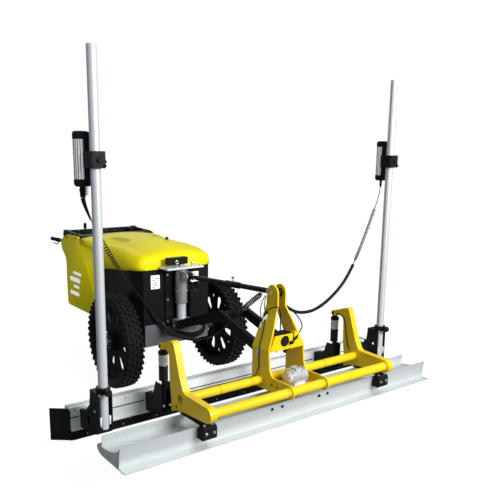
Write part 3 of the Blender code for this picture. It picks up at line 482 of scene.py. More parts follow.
def made(name, build, mat, body, slot, **finish):
    """A piece that build draws and that rides on body."""
    bm = bmesh.new()
    build(bm)
    ob = piece(name, bm, mat, slot, **finish)
    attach(ob, body)
    return ob


def draws(mat, body, slot, side="", **finish):
    """Decorator: the function below it draws a piece that has the function's name, with side after it."""
    return lambda build: made((build.__name__ + "_" + side).strip("_"), build, mat, body, slot, **finish)


aim_camera()
studio()
pale_floor()

# ---------------------------------------------------------------- receiver cables
ROUTES = {
    "left": ((-MX - 0.031, MY + 0.102, 1.634), (-MX - 0.03, MY + 0.1, 1.56), (-MX + 0.01, MY + 0.075, 1.43),
             (-1.08, 0.489, 1.287), (-0.96, 0.53, 1.115), (-0.8, 0.57, 0.92), (-0.7, 0.59, 0.795),
             (-0.6, 0.605, 0.705), (-0.48, 0.625, 0.645), (-0.36, 0.645, 0.612), (-0.25, 0.64, 0.625),
             (-0.175, 0.618, 0.682), (-0.13, 0.612, 0.718), (-0.085, 0.618, 0.728), (-0.03, 0.665, 0.742),
             (0.015, 0.725, 0.75), (0.05, 0.77, 0.7435)),
    "right": ((MX + 0.031, MY + 0.102, 1.634), (MX + 0.018, MY + 0.097, 1.55), (MX - 0.05, MY + 0.075, 1.43),
              (0.96, 0.48, 1.15), (0.78, 0.44, 0.94), (0.6, 0.41, 0.822), (0.42, 0.385, 0.762),
              (0.26, 0.365, 0.768), (0.15, 0.352, 0.815), (0.075, 0.33, 0.868)),
}
WIRE, THICK, THIN = 0.0056, 0.0225, 0.006      # cable diameters: coiled, sheathed and thin stretches


def coiled(points, start, stop, radius, pitch, per_turn=14):
    """The centreline of a cable that runs straight, is wound in a helix between start and stop (metres along
    the route) and runs straight again. The helix opens over its first and last turns. radius and pitch are
    functions of the distance along the route."""
    total = run_length(points)
    fine = even(points, max(int(total / 0.001), 200))
    step = total / (len(fine) - 1)
    out, angle, normal = [], 0.0, None
    s = 0.0
    while s <= total + 1e-9:
        i = min(int(s / step), len(fine) - 2)
        here = fine[i].lerp(fine[i + 1], min(s / step - i, 1.0))
        ahead = (fine[i + 1] - fine[i]).normalized()
        if normal is None:
            normal = ahead.orthogonal()
        normal = (normal - ahead * normal.dot(ahead)).normalized()
        if start < s < stop:
            grow = min((s - start) / (2 * pitch(s)), (stop - s) / (2 * pitch(s)), 1.0)
            outward = normal * math.cos(angle) + ahead.cross(normal) * math.sin(angle)
            here = here + outward * radius(s) * grow
            angle += 2 * math.pi / per_turn
            s += pitch(s) * (1 + 2.5 * (1 - grow)) / per_turn
        else:
            following = s + 0.008
            if s <= start < following:
                following = start + 1e-6
            if s < total < following:
                following = total
            s = following
        if not out or (here - out[-1]).length > 0.0006:
            out.append(here)
    return out


def cable(name, points, width, node):
    """A cable as a mesh tube from its first point to its last, which hides the node."""
    bm = bmesh.new()
    tube(bm, points, width / 2, 10)
    ob = piece(name, bm, "cable", "cable", smooth=60, replaces=(node,))
    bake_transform(ob)


def portion(points, a, b):
    """The stretch of an evenly sampled line between the shares a and b of its length."""
    n = len(points) - 1
    return points[int(round(a * n)):int(round(b * n)) + 1]


def sleeve(name, run, body, radii):
    """A moulded sleeve over the place where one cable runs into the next."""
    return made(name, lambda bm: tube(bm, even(run, len(radii)), radii, 14), "rubber", body, "cable")


def left_cable(line):
    """Coils that grow slimmer and further apart, a sheathed stretch, and a thin end at the lower arms."""
    coil, thick = portion(line, 0.0, 0.5), portion(line, 0.5, 0.72)
    thin, last = portion(line, 0.72, 0.845), portion(line, 0.845, 1.0)
    wound = coiled(coil, 0.2, run_length(coil) - 0.03, lambda d: max(0.0122 - 0.02 * max(d - 0.36, 0), 0.006),
                   lambda d: 0.017 + 0.01 * max(d - 0.42, 0))
    a = sleeve("cable_sleeve_left_a", coil[-4:] + thick[1:9], "mast_left",
               (0.006, 0.0072, 0.0078, 0.0078, 0.007))
    b = sleeve("cable_sleeve_left_b", thick[-5:] + thin[1:6], "grader", (0.0102, 0.0115, 0.0105, 0.007))
    c = sleeve("cable_sleeve_left_c", thin[-5:] + last[1:5], "frame", (0.0034, 0.005, 0.005, 0.0034))
    cable("cable_coiled_left", wound, WIRE, "cord_left")
    cable("hose_upper_left", thick, THICK, "cord_left")
    cable("hose_lower_left", thin, THIN, "cord_left")
    cable("hose_end_left", last, THIN, "cord_left")


def right_cable(line):
    """Even coils and a sheathed stretch that goes into the tower."""
    coil, thick, last = portion(line, 0.0, 0.44), portion(line, 0.44, 0.72), portion(line, 0.72, 1.0)
    wound = coiled(coil, 0.215, run_length(coil) - 0.03, lambda d: 0.0088, lambda d: 0.0105)
    a = sleeve("cable_sleeve_right_a", coil[-4:] + thick[1:9], "mast_right",
               (0.009, 0.011, 0.0122, 0.0122, 0.0112))
    b = sleeve("cable_sleeve_right_b", thick[-5:] + last[1:6], "grader", (0.0112, 0.0125, 0.0125, 0.0112))
    cable("cable_coiled_right", wound, WIRE, "cord_right")
    cable("hose_upper_right", thick, THICK, "cord_right")
    cable("hose_lower_right", last, THICK, "cord_right")


left_line = smooth_route(ROUTES["left"], 561)
left_cable(left_line)
right_cable(smooth_route(ROUTES["right"], 561))

# ---------------------------------------------------------------- hood
# tables of (y, value) along the hood: half width, top, lower edge, corner radius and rise of the top's crown
HOOD_HALF = ((1.5375, 0.275), (1.54, 0.288), (1.546, 0.305), (1.56, 0.325), (1.59, 0.345), (1.64, 0.361),
             (1.7, 0.371), (1.76, HALF), (2.6, HALF))
HOOD_TOP = ((1.5375, 0.985), (1.54, 1.003), (1.546, 1.02), (1.56, 1.041), (1.59, 1.061), (1.64, 1.078),
            (1.7, 1.091), (1.76, 1.101), (1.85, 1.112), (1.9, 1.1165), (1.93, 1.118), (2.165, 1.118),
            (2.3, 1.115), (2.45, 1.108), (2.56, 1.1))
HOOD_LOW = ((1.5375, 0.9275), (1.64, 0.924), (1.71, 0.913), (1.92, 0.894), (2.165, 0.862))
HOOD_RADIUS = ((1.5375, 0.05), (1.6, 0.095), (1.8, 0.115), (2.165, 0.112), (2.32, 0.055), (2.56, 0.03))
HOOD_CROWN = ((1.5375, 0.012), (1.65, 0.036), (1.9, 0.05), (2.1, 0.055), (2.3, 0.052), (2.56, 0.03))
HOOD_STATIONS = (1.5375, 1.5385, 1.54, 1.543, 1.546, 1.552, 1.56, 1.574, 1.59, 1.614, 1.64, 1.67, 1.7,
                 1.73, 1.76, 1.805, 1.85, 1.925, 2.0, 2.08, WAIST - 0.001, WAIST + 0.001, 2.23, 2.3,
                 2.375, 2.45, 2.505, 2.56)
DECK_Z = 1.0285                                 # top of the cover's deck under the hood and the console


def table_at(table, y):
    for (y0, v0), (y1, v1) in zip(table, table[1:]):
        if y <= y1:
            return v0 + (v1 - v0) * max(y - y0, 0.0) / (y1 - y0)
    return table[-1][1]


def hood_point(y, t):
    """A point on the hood's skin: t runs from 0 at the left lower edge over the top to 1 at the right one."""
    half, top = table_at(HOOD_HALF, y), table_at(HOOD_TOP, y)
    radius, crown = table_at(HOOD_RADIUS, y), table_at(HOOD_CROWN, y)
    side, u = (-1, t * 2) if t <= 0.5 else (1, (1 - t) * 2)
    inner = half - radius
    if u < 0.5:
        a = math.radians(180 * u)
        return Vector((side * (inner + radius * math.cos(a)), y, top - crown - radius + radius * math.sin(a)))
    x = inner * (1 - (u - 0.5) * 2)
    return Vector((side * x, y, top - crown * (x / inner) ** 2))


@draws("hood", "tractor", "yellow_paint", smooth=50, replaces=("hood",))
def hood_shell(bm):
    rings = []
    for y in HOOD_STATIONS:
        low_z = table_at(HOOD_LOW, y) if y < WAIST else DECK_Z + 0.003
        ring = [hood_point(y, i / 48) for i in range(49)]
        ring = [Vector((ring[0].x, y, low_z))] + ring + [Vector((ring[-1].x, y, low_z))]
        rings.append([bm.verts.new(p) for p in ring])
    for a, b in zip(rings, rings[1:]):
        for i in range(len(a) - 1):
            bm.faces.new((a[i], a[i + 1], b[i + 1], b[i]))
    bm.faces.new(rings[0])


thicken(hood_shell)


def on_hood(bm, y, t, sunk, size):
    """A small block set into the hood's skin: size is across, along and proud."""
    p = hood_point(y, t)
    n = (hood_point(y, t + 0.004) - hood_point(y, t - 0.004)).normalized()
    along = (hood_point(y + 0.004, t) - hood_point(y - 0.004, t)).normalized()
    up = n.cross(along).normalized()
    up = up if up.z > 0 or abs(up.x) > 0.7 and up.x * p.x > 0 else -up
    verts = bmesh.ops.create_cube(bm, size=1.0)["verts"]
    turn = Matrix((n, along, up)).transposed().to_4x4()
    turn.translation = p + up * (size[2] / 2 - sunk)
    bmesh.ops.transform(bm, verts=verts, matrix=turn @ Matrix.Diagonal((*size, 1)))


@draws("seam", "tractor", "yellow_paint", bevel=0.0006)
def hood_louvres(bm):
    for k in range(9):
        for t in (0.335, 0.665):
            on_hood(bm, 2.02 + 0.03 * k, t, 0.0022, (0.06, 0.009, 0.003))


@draws("plastic", "tractor", "plastic")
def hood_cap(bm):
    stub(bm, (0.095, 1.847, 1.088), (0, 0, 0.024), 0.006, 12, 0)
    stub(bm, (0.095, 1.847, 1.11), (0, 0, 0.02), 0.013, 20, 0.003)


# ---------------------------------------------------------------- rear cover
COVER = (arc((2.843, 0.458), 0.038, 270, 360, 6) + [
    (2.884, 0.64), (2.88, 0.8), (2.884, 0.832), (2.897, 0.86), (2.925, 0.888), (2.958, 0.913), (2.98, 0.945),
    (2.988, 0.972), (2.988, 0.996), (2.975, 1.014), (2.95, 1.03), (2.916, 1.046), (2.86, 1.068), (2.8, 1.08),
    (2.7, 1.084), (2.62, 1.084), (2.562, 1.08), (2.562, DECK_Z), (2.3, DECK_Z), (WAIST + 0.004, DECK_Z),
    (WAIST + 0.004, 0.42)])
SLOTS = ((2.6, 2.815, 0.533, 0.569), (2.592, 2.735, 0.604, 0.63), (2.568, 2.812, 0.658, 0.7),
         (2.538, 2.732, 0.728, 0.755))          # y and z limits of the cover's four side slots


@draws("hood", "tractor", "yellow_paint", replaces=("rear_cover",))
def rear_cover_shell(bm):
    """The cover's sheet: both sides, the back and a sunk top, open at the front and underneath."""
    sides = []
    for s in BOTH:
        sides.append([bm.verts.new((s * HALF, y, z)) for y, z in COVER])
        bm.faces.new(sides[-1])
    n = len(COVER)
    for i in range(n - 2):
        (y0, z0), (y1, z1) = COVER[i:i + 2]
        underneath = z0 < 0.4201 and z1 < 0.4201
        over_console = z0 > 1.029 and z1 > 1.029 and y0 < 2.95
        under_hood = z1 <= DECK_Z + 0.0001 and y1 < 2.57
        if not (underneath or over_console or under_hood):
            bm.faces.new((sides[0][i], sides[0][i + 1], sides[1][i + 1], sides[1][i]))


soften(rear_cover_shell, 0.022, 5, 50)
thicken(rear_cover_shell)


@draws("hood", "tractor", "yellow_paint", bevel=0.001)
def cover_deck(bm):
    box(bm, (-0.3705, 2.175, DECK_Z - 0.004), (0.3705, 2.95, DECK_Z))


def slot_plates(bm, grow, proud):
    """Leaning round-ended plates in the side slots, grow wider and proud of the cover."""
    lean_y = 0.007
    for y0, y1, z0, z1 in SLOTS:
        r, middle = (z1 - z0) / 2 + grow, (z0 + z1) / 2
        shape = arc((y1 - r + grow - lean_y, middle), r, -90, 90, 6)
        shape += arc((y0 + r - grow + lean_y, middle), r, 90, 270, 6)
        for s in BOTH:
            side_plate(bm, shape, s, HALF - 0.006, HALF + proud)


made("slot_frames", lambda bm: slot_plates(bm, 0.003, 0.0005), "hood", "tractor", "yellow_paint")
# The slot panels are painted light: pale sheets in the side slots that glow white without a lamp.
made("slot_panels", lambda bm: slot_plates(bm, 0.0, 0.0009), "sheet", "tractor", "receiver")


@draws("dark", "tractor", "black_paint")
def cover_marks(bm):
    for s in BOTH:
        for k in range(5):
            y = 2.46 + 0.045 * k
            side_plate(bm, [(y, 1.045), (y + 0.008, 1.045), (y + 0.022, 1.066), (y + 0.014, 1.066)], s,
                       HALF - 0.002, HALF + 0.0006)
        stub(bm, (s * (HALF - 0.004), 2.85, 1.048), (s * 0.007, 0, 0), 0.011, 16, 0.002)
        stub(bm, (s * (HALF - 0.004), 2.64, 0.492), (s * 0.0055, 0, 0), 0.005, 12, 0.001)


@draws("pale", "tractor", "steel", bevel=0.0006)
def cover_latches(bm):
    for s in BOTH:
        box(bm, (s * HALF - 0.0015, 2.378, 0.886), (s * HALF + 0.0008, 2.392, 0.93))


# ---------------------------------------------------------------- wheels
TYRE_IN, TYRE_OUT, LUGS = 0.412, 0.552, 44
TYRE_HALF = ((0.2998, 0.01), (0.312, 0.002), (0.33, 0.0005), (0.343, 0.004), (0.3515, 0.014), (0.3565, 0.035))
LUG_ROWS = ((0.002, 0.034, 0.338, 0.369, 0.0, 0.026), (0.038, 0.067, 0.352, 0.3722, 0.5, 0.028),
            (0.073, 0.102, 0.352, 0.3722, 0.0, 0.028), (0.106, 0.138, 0.338, 0.369, 0.5, 0.026))
for side, s in SIDES:
    body = "wheel_" + side
    hub_x = s * (TYRE_IN + 0.13)

    @draws("tyre", body, "tyre", side, smooth=40, replaces=("tyre_" + side,))
    def tyre_casing(bm):
        wide = TYRE_OUT - TYRE_IN
        far = [(radius, wide - x) for radius, x in TYRE_HALF[::-1]]
        profile = [*TYRE_HALF, (0.3585, wide / 2), *far, TYRE_HALF[0]]
        lathe(bm, profile, (s * TYRE_IN, *AXLE_AT), (s, 0, 0), 132)

    @draws("tyre", body, "tyre", side, smooth=0, bevel=0.0015, segments=1)
    def tyre_lugs(bm):
        """Two rows of centre blocks and a row of shoulder blocks on each side, every second one set back."""
        for k in range(LUGS):
            for x0, x1, r0, r1, turn, length in LUG_ROWS:
                verts = bmesh.ops.create_cube(bm, size=1.0)["verts"]
                for v in verts:
                    taper = 0.82 if v.co.z > 0 else 1.0
                    v.co = Vector((s * (TYRE_IN + (x0 + x1) / 2 + v.co.x * (x1 - x0) * taper),
                                   v.co.y * length * taper, (r0 + r1) / 2 + v.co.z * (r1 - r0)))
                spin = Matrix.Rotation(2 * math.pi * (k + turn) / LUGS, 3, "X")
                bmesh.ops.rotate(bm, verts=verts, cent=(0, 0, 0), matrix=spin)
                bmesh.ops.translate(bm, verts=verts, vec=(0, *AXLE_AT))

    @draws("post", body, "steel", side)
    def hub_bolts(bm):
        stub(bm, (hub_x, *AXLE_AT), (s * 0.014, 0, 0), 0.024, 24, 0.003)
        for k in range(5):
            a = 2 * math.pi * k / 5 + 0.3
            at = (hub_x, AXLE_AT[0] + 0.05 * math.cos(a), AXLE_AT[1] + 0.05 * math.sin(a))
            hex_bolt(bm, at, (s, 0, 0), 0.0075, 0.007)

    @draws("rubber", body, "rubber", side)
    def valve(bm):
        y, z = AXLE_AT
        tube(bm, [(s * 0.452, y, z + 0.2855), (s * 0.437, y, z + 0.262), (s * 0.43, y, z + 0.245)], 0.0036)

    for k, out in enumerate((0.015, 0.125)):
        @draws("iron", body, "rim_metal", "%s_%d" % (side, k))
        def rim_flange(bm):
            torus(bm, (s * (TYRE_IN + out), *AXLE_AT), (s, 0, 0), 0.2955, 0.004, 96)

# ---------------------------------------------------------------- receivers
RX, RY, RR, R0, R1 = MX + 0.031, MY + 0.102, 0.045, 1.635, 1.925     # axis, radius, lowest and highest z
WINDOW_R = RR - 0.0045
CLAMP_Z = 1.778


def receiver(side, s):
    body = "laser_" + side
    x = s * RX

    @draws("plastic", body, "receiver", side, smooth=40, bevel=0.001, replaces=("receiver_" + side,))
    def receiver_case(bm):
        """Two end caps and the spine towards the mast."""
        lathe(bm, [(0, 0), (RR - 0.01, 0), (RR - 0.003, 0.008), (RR, 0.016), (RR, 0.036), (RR - 0.004, 0.04),
                   (0, 0.04)], (x, RY, R0), UP, 40)
        lathe(bm, [(0, 0), (RR - 0.004, 0), (RR, 0.004), (RR, 0.028), (RR - 0.004, 0.038),
                   (RR - 0.014, 0.042), (0, 0.0425)], (x, RY, R1 - 0.0425), UP, 40)
        box(bm, (x - (0.004 if s < 0 else 0.022), RY - 0.0448, R0 + 0.004),
            (x + 0.022, RY - 0.02, R1 - 0.006))
        rib = x - 0.018 * s
        box(bm, (rib - 0.016, RY - 0.044, R0 + 0.004), (rib + 0.016, RY - 0.01, R1 - 0.006))

    # Painted light: the window glows through its material's emission.
    @draws("window", body, "receiver", side, smooth=40)
    def receiver_window(bm):
        stub(bm, (x, RY, R0 + 0.04), (0, 0, 0.2078), WINDOW_R, 40, 0)

    @draws("plastic", body, "receiver", side)
    def receiver_ribs(bm):
        for px, py in circle(WINDOW_R, 18):
            stub(bm, (x + px, RY + py, R0 + 0.04), (0, 0, 0.208), 0.0021, 6, 0)

    @draws("rubber", body, "cable", side)
    def receiver_gland(bm):
        radii, depth = (0.0105, 0.0105, 0.0085, 0.008, 0.0095, 0.009, 0.006, 0.004), 0.052
        if s < 0:
            radii, depth = (0.016, 0.016, 0.018, 0.018, 0.015, 0.016, 0.0145, 0.0135), 0.06
        tube(bm, [(x, RY, R0 + 0.001 - depth * k / 7) for k in range(8)], radii, 20)


def left_receiver_boot():
    """The left cable leaves through a long tapered boot, beside a pale fitting."""
    @draws("rubber", "laser_left", "cable", "left")
    def receiver_boot(bm):
        run = [v - Vector((0, 0, 0.002)) for v in portion(left_line, 0.03, 0.095)]
        tube(bm, run, [0.0125 - 0.0075 * i / (len(run) - 1) for i in range(len(run))], 16)

    @draws("white", "laser_left", "receiver", "left")
    def receiver_fitting(bm):
        stub(bm, (-RX + 0.019, RY - 0.004, R0 - 0.046), (0, 0, 0.042), 0.0125, 24, 0.003)


def mast_clamp(side, s):
    """Split clamp on the mast: two jaws, ribs on its face, bolts and a knob."""
    body = "laser_" + side
    x, z = s * MX, CLAMP_Z

    @draws("plastic", body, "plastic", side, bevel=0.002, replaces=("receiver_clamp_" + side,))
    def clamp_block(bm):
        turn = arc((0.0, 0.0), 0.0276, 0, 360, 28)[:-1]
        for outer, edge, keep in ((0.379, MY - 0.002, -1), (0.4755, MY + 0.002, 1)):
            arch = sorted(((px, py) for px, py in turn if keep * py > 0.002), key=lambda q: q[0] * keep)
            prism(bm, [(x + keep * 0.04, outer), (x - keep * 0.04, outer), (x - keep * 0.04, edge),
                       (x - keep * 0.0275, edge)] + [(x + px, MY + py) for px, py in arch]
                  + [(x + keep * 0.0275, edge), (x + keep * 0.04, edge)], 2, z - 0.044, z + 0.044)
        for k in range(3):
            box(bm, (x - 0.036, 0.3765, z - 0.03 + 0.024 * k), (x + 0.036, 0.3795, z - 0.018 + 0.024 * k))

    @draws("iron", body, "plastic", side, smooth=40)
    def clamp_bolts(bm):
        for dz in (-0.032, 0.032):
            hex_bolt(bm, (x - 0.033, 0.379, z + dz), AHEAD, 0.005, 0.005)
            hex_bolt(bm, (x - s * 0.04, 0.45, z + dz), (-s, 0, 0), 0.005, 0.005)
        stub(bm, (x + 0.0395, 0.4, z - 0.01), (0.0125, 0, 0), 0.01, 16, 0.002)
        stub(bm, (x + 0.004, 0.3795, z), (0, -0.0125, 0), 0.014, 20, 0.003)
        stub(bm, (x + 0.034, 0.3795, z - 0.03), (0, -0.0105, 0), 0.0075, 16, 0.002)


for side, s in SIDES:
    receiver(side, s)
    mast_clamp(side, s)
left_receiver_boot()

# ---------------------------------------------------------------- lift linkage
@draws("spring", "arms", "steel", smooth=40, replaces=("tension_spring",))
def spring_coil(bm):
    low_end, high_end = Vector((0.06, 0.752, 0.734)), Vector((0.004, 0.458, 0.9155))
    turns, per_turn, r, wire = 13, 12, 0.0155, 0.0034
    length = (high_end - low_end).length
    run = (high_end - low_end).normalized()
    nx = run.orthogonal().normalized()
    ny = run.cross(nx)
    pts = [low_end, low_end + run * 0.012]
    for k in range(turns * per_turn + 1):
        a = 2 * math.pi * k / per_turn
        middle = low_end + run * (0.028 + (length - 0.056) * k / (turns * per_turn))
        pts.append(middle + (nx * math.cos(a) + ny * math.sin(a)) * r)
    tube(bm, pts + [high_end - run * 0.012, high_end], wire, 8)
    for at, way in ((low_end, run), (high_end, -run)):
        stub(bm, at + way * 0.02, way * 0.006, 0.013, 16, 0)


@draws("post", "link", "steel")
def link_fittings(bm):
    """A grease cap on the top link and the hexagon lock nuts of its two ends."""
    stub(bm, (0, 0.78, 0.936), (0, 0, 0.028), 0.0035, 12, 0)
    lathe(bm, [(0, 0), (0.006, 0), (0.011, 0.004), (0.011, 0.012), (0.007, 0.016), (0, 0.016)],
          (0, 0.78, 0.961), UP, 20)
    along = Vector((0, -1.06, 0.066))
    for y in (0.395, 1.262):
        z = 0.884 + 0.066 * (1.36 - y) / 1.06
        stub(bm, (0, y, z), along.normalized() * 0.014, 0.0165, 6, 0)


@draws("iron", "arms", "black_paint")
def arm_fittings(bm):
    """Pin washers and the tie bar's end bolts."""
    for s in BOTH:
        for y, z in ((0.3, 0.575), (1.36, 0.509)):
            band(bm, (s * 0.1225, y, z), (s, 0, 0), 0.0136, 0.024, 0.004)
        hex_bolt(bm, (s * 0.1222, 0.78, 0.715), (s, 0, 0), 0.013, 0.008)


# ---------------------------------------------------------------- tower
@draws("bright", "frame", "steel")
def tower_bolts(bm):
    for s in BOTH:
        hex_bolt(bm, (s * 0.0462, 0.3, 0.95), (s, 0, 0), 0.0095, 0.006)
        stub(bm, (s * 0.1505, 0.3, 0.575), (s * 0.0035, 0, 0), 0.02, 24)
        stub(bm, (s * 0.1595, 0.3, 0.575), (s * 0.004, 0, 0), 0.0085, 16)
        bolts(bm, ((s * 0.112, 0.06, 0.3842), (s * 0.112, 0.205, 0.3842)), UP, 0.007, 0.006)
    hex_bolt(bm, (-0.078, 0.198, 0.5998), (0, 0, -1), 0.007, 0.01)
    hex_bolt(bm, (0.052, 0.198, 0.5998), (0, 0, -1), 0.007, 0.012)


@draws("pale", "frame", "plastic")
def tower_switches(bm):
    """Pale proximity switches in clips at the left plate's back edge."""
    for at in ((-0.079, 0.318, 0.776), (-0.104, 0.338, 0.722), (-0.091, 0.326, 0.762)):
        stub(bm, at, (0.01, -0.004, 0.036), 0.0065, 16)


@draws("rubber", "frame", "rubber", bevel=0.0008)
def tower_plugs(bm):
    """Cable plugs of the switches, the cross box's lid, its gland and plug, and two grommets."""
    for at in ((-0.07, 0.32, 0.812), (-0.094, 0.336, 0.76), (-0.078, 0.324, 0.8)):
        stub(bm, at, (0.005, 0, 0.018), 0.0085, 14, 0.002)
    box(bm, (-0.098, 0.186, 0.7003), (0.04, 0.26, 0.7065))
    stub(bm, (-0.005, 0.2, 0.574), (0, 0, 0.0258), 0.013, 20, 0.003)
    stub(bm, (0.056, 0.183, 0.655), (0.024, -0.003, 0.017), 0.009, 14, 0.002)
    stub(bm, (0.026, 0.1845, 0.64), (0, -0.0205, 0), 0.01, 14, 0.002)
    for y in (0.15, 0.1):
        stub(bm, (-0.1497, y, 0.398), (-0.0043, 0, 0), 0.006)


WIRES = {
    "switch": ((-0.084, 0.318, 0.78), (-0.103, 0.3, 0.73), (-0.125, 0.292, 0.679), (-0.147, 0.284, 0.628),
               (-0.1545, 0.278, 0.586), (-0.1545, 0.281, 0.53), (-0.1545, 0.281, 0.483),
               (-0.157, 0.296, 0.448), (-0.175, 0.284, 0.432), (-0.23, 0.277, 0.4305),
               (-0.4, 0.277, 0.4305), (-0.6, 0.277, 0.4305), (-0.69, 0.29, 0.425)),
    "loop": ((-0.066, 0.32, 0.826), (-0.08, 0.285, 0.85), (-0.078, 0.24, 0.872), (-0.052, 0.226, 0.872),
             (-0.03, 0.23, 0.845), (-0.016, 0.238, 0.79), (-0.012, 0.243, 0.74), (-0.012, 0.243, 0.7045)),
    "riser_a": ((-0.05, 0.357, 0.925), (-0.062, 0.372, 0.88), (-0.078, 0.368, 0.83), (-0.09, 0.345, 0.778)),
    "riser_b": ((-0.047, 0.35, 0.925), (-0.053, 0.354, 0.89), (-0.064, 0.345, 0.85), (-0.068, 0.322, 0.822)),
    "side": ((0.128, 0.345, 0.822), (0.165, 0.322, 0.795), (0.18, 0.275, 0.755), (0.166, 0.232, 0.717),
             (0.12, 0.2, 0.697), (0.078, 0.181, 0.672)),
    "plug": ((0.058, 0.183, 0.656), (0.048, 0.176, 0.64), (0.032, 0.172, 0.64)),
    "box": ((0.03, 0.226, 0.7065), (0.044, 0.205, 0.712), (0.05, 0.1835, 0.7), (0.05, 0.183, 0.66),
            (0.04, 0.18, 0.648), (0.028, 0.174, 0.642)),
}


@draws("cable", "frame", "cable", smooth=60)
def tower_wires(bm):
    """Thin wires that are held by the tower at both ends."""
    for name, route in WIRES.items():
        hose(bm, route, 60, 0.004 if name in ("loop", "side") else 0.003)


# ---------------------------------------------------------------- frame tubes and end plates
@draws("seam", "frame", "yellow_paint")
def tube_seams(bm):
    for (y, z, r), places in ((FRONT, (-0.169, 0.12)), (REAR, (-0.478, -0.236, 0.402))):
        for x in places:
            band(bm, (x - 0.0014, y, z), RIGHT, r - 0.002, r + 0.0003, 0.0028, 40)
    for s in BOTH:
        for y, z, r in (FRONT, REAR):
            band(bm, (s * 0.71, y, z), (-s, 0, 0), r, r + 0.0012, 0.0022, 40)


@draws("yellow", "frame", "yellow_paint")
def tube_collars(bm):
    """Weld collars where the tubes meet the tower and the end plates, and the front tube's end caps."""
    for s in BOTH:
        for y, z, r in (FRONT, REAR):
            lathe(bm, [(r + 0.0002, 0), (r + 0.0075, 0), (r + 0.0062, 0.0035), (r + 0.0002, 0.0055)],
                  (s * 0.1506, y, z), (s, 0, 0), 40)
            lathe(bm, [(r + 0.0002, 0), (r + 0.007, 0), (r + 0.0055, 0.0035), (r + 0.0002, 0.005)],
                  (s * 0.7095, y, z), (-s, 0, 0), 40)
        lathe(bm, [(0, 0), (0.0238, 0), (0.0238, -0.003), (0, -0.003)], (s * 0.757, *FRONT[:2]), (s, 0, 0))


@draws("plastic", "frame", "black_paint")
def end_plate_bolts(bm):
    for s in BOTH:
        for y, z in ((0.366, 0.63), (0.3595, 0.545), (0.356, 0.47)):
            stub(bm, (s * AX, y + 0.016, z), (0, 0.014, 0), 0.008, 14, 0.002)
        stub(bm, (s * 0.755, AY, 0.675), (s * 0.004, 0, 0), 0.009, 20)
        stub(bm, (s * 0.709, AY, 0.675), (s * -0.004, 0, 0), 0.009, 20)
        stub(bm, (s * 0.755, 0.3, 0.35), (s * 0.0035, 0, 0), 0.0075)


@draws("cable", "frame", "cable", smooth=60)
def end_plate_wire(bm):
    x = 0.7065
    hose(bm, ((0.719, 0.47, 0.655), (0.7075, 0.445, 0.676), (x, 0.415, 0.68), (x, 0.376, 0.662),
              (x, 0.358, 0.62), (x, 0.349, 0.562), (x, 0.334, 0.497), (x, 0.309, 0.437)), 50, 0.0036)


# ---------------------------------------------------------------- vibrator housing
MOTOR_Y, MOTOR_Z = 0.11, 0.44


@draws("cast_alloy", "frame", "alloy", smooth=30, replaces=("vibrator_motor",))
def motor_casing(bm):
    """A cast housing with fins round it, two feet and a terminal box."""
    lathe(bm, [(0, -0.066), (0.036, -0.066), (0.044, -0.06), (0.045, -0.04), (0.045, 0.062), (0.044, 0.082),
               (0.036, 0.088), (0, 0.088)], (0, MOTOR_Y, MOTOR_Z), RIGHT, 40)
    for k in range(13):
        lathe(bm, [(0.04, 0), (0.0515, 0.0008), (0.0515, 0.0032), (0.04, 0.004)],
              (-0.05 + 0.01 * k, MOTOR_Y, MOTOR_Z), RIGHT, 40)
    box(bm, (-0.06, 0.052, 0.3845), (0.082, 0.17, 0.4))
    box(bm, (-0.03, 0.066, 0.396), (0.052, 0.154, 0.425))
    box(bm, (-0.012, 0.08, 0.47), (0.034, 0.14, 0.498))


@draws("steel", "frame", "steel")
def motor_screws(bm):
    for s, x in ((-1, -0.066), (1, 0.088)):
        for k in range(6):
            a = math.pi * k / 3 + 0.3
            at = (x - s * 0.002, MOTOR_Y + 0.03 * math.cos(a), MOTOR_Z + 0.03 * math.sin(a))
            hex_bolt(bm, at, (s, 0, 0), 0.0042, 0.004)
    bolts(bm, [(x, y, 0.4) for x in (-0.048, 0.07) for y in (0.06, 0.162)], UP, 0.0065, 0.006)


# ---------------------------------------------------------------- trowel plate
@draws("plastic", "trowel", "steel")
def wall_bolts(bm):
    bolts(bm, [(x, 0.0545, 0.289) for x in (-0.224, -0.143, 0.17, 0.245)], (0, -1, -0.09), 0.0088, 0.008)


@draws("steel", "trowel", "steel")
def trowel_screws(bm):
    for s in BOTH:
        for y, z, r in ((0.03, 0.1925, 0.0045), (0.16, 0.222, 0.006), (0.25, 0.215, 0.006)):
            stub(bm, (s * 1.2505, y, z), (s * 0.002, 0, 0), r, 14, 0.0008)


@draws("bright", "trowel", "steel")
def mount_screws(bm):
    for s in BOTH:
        for x in (s * 0.724 - 0.026, s * 0.724 + 0.026):
            hex_bolt(bm, (x, -0.0122, 0.287), AHEAD, 0.0075, 0.006)
            hex_bolt(bm, (x, 0.012, 0.3286), UP, 0.007, 0.006)


# ---------------------------------------------------------------- grader beam and its brackets
@draws("steel", "grader", "steel")
def beam_screws(bm):
    for k in range(-5, 6):
        stub(bm, (0.236 * k + 0.01, 0.6465, 0.1625), (0, -0.004, 0), 0.0052, 14, 0.0008)
    for x in (-1.236, -1.06, -0.905, 0.905, 1.06, 1.236):
        stub(bm, (x, 0.6705, 0.321), (0, -0.01, -0.001), 0.005, 14, 0.0008)


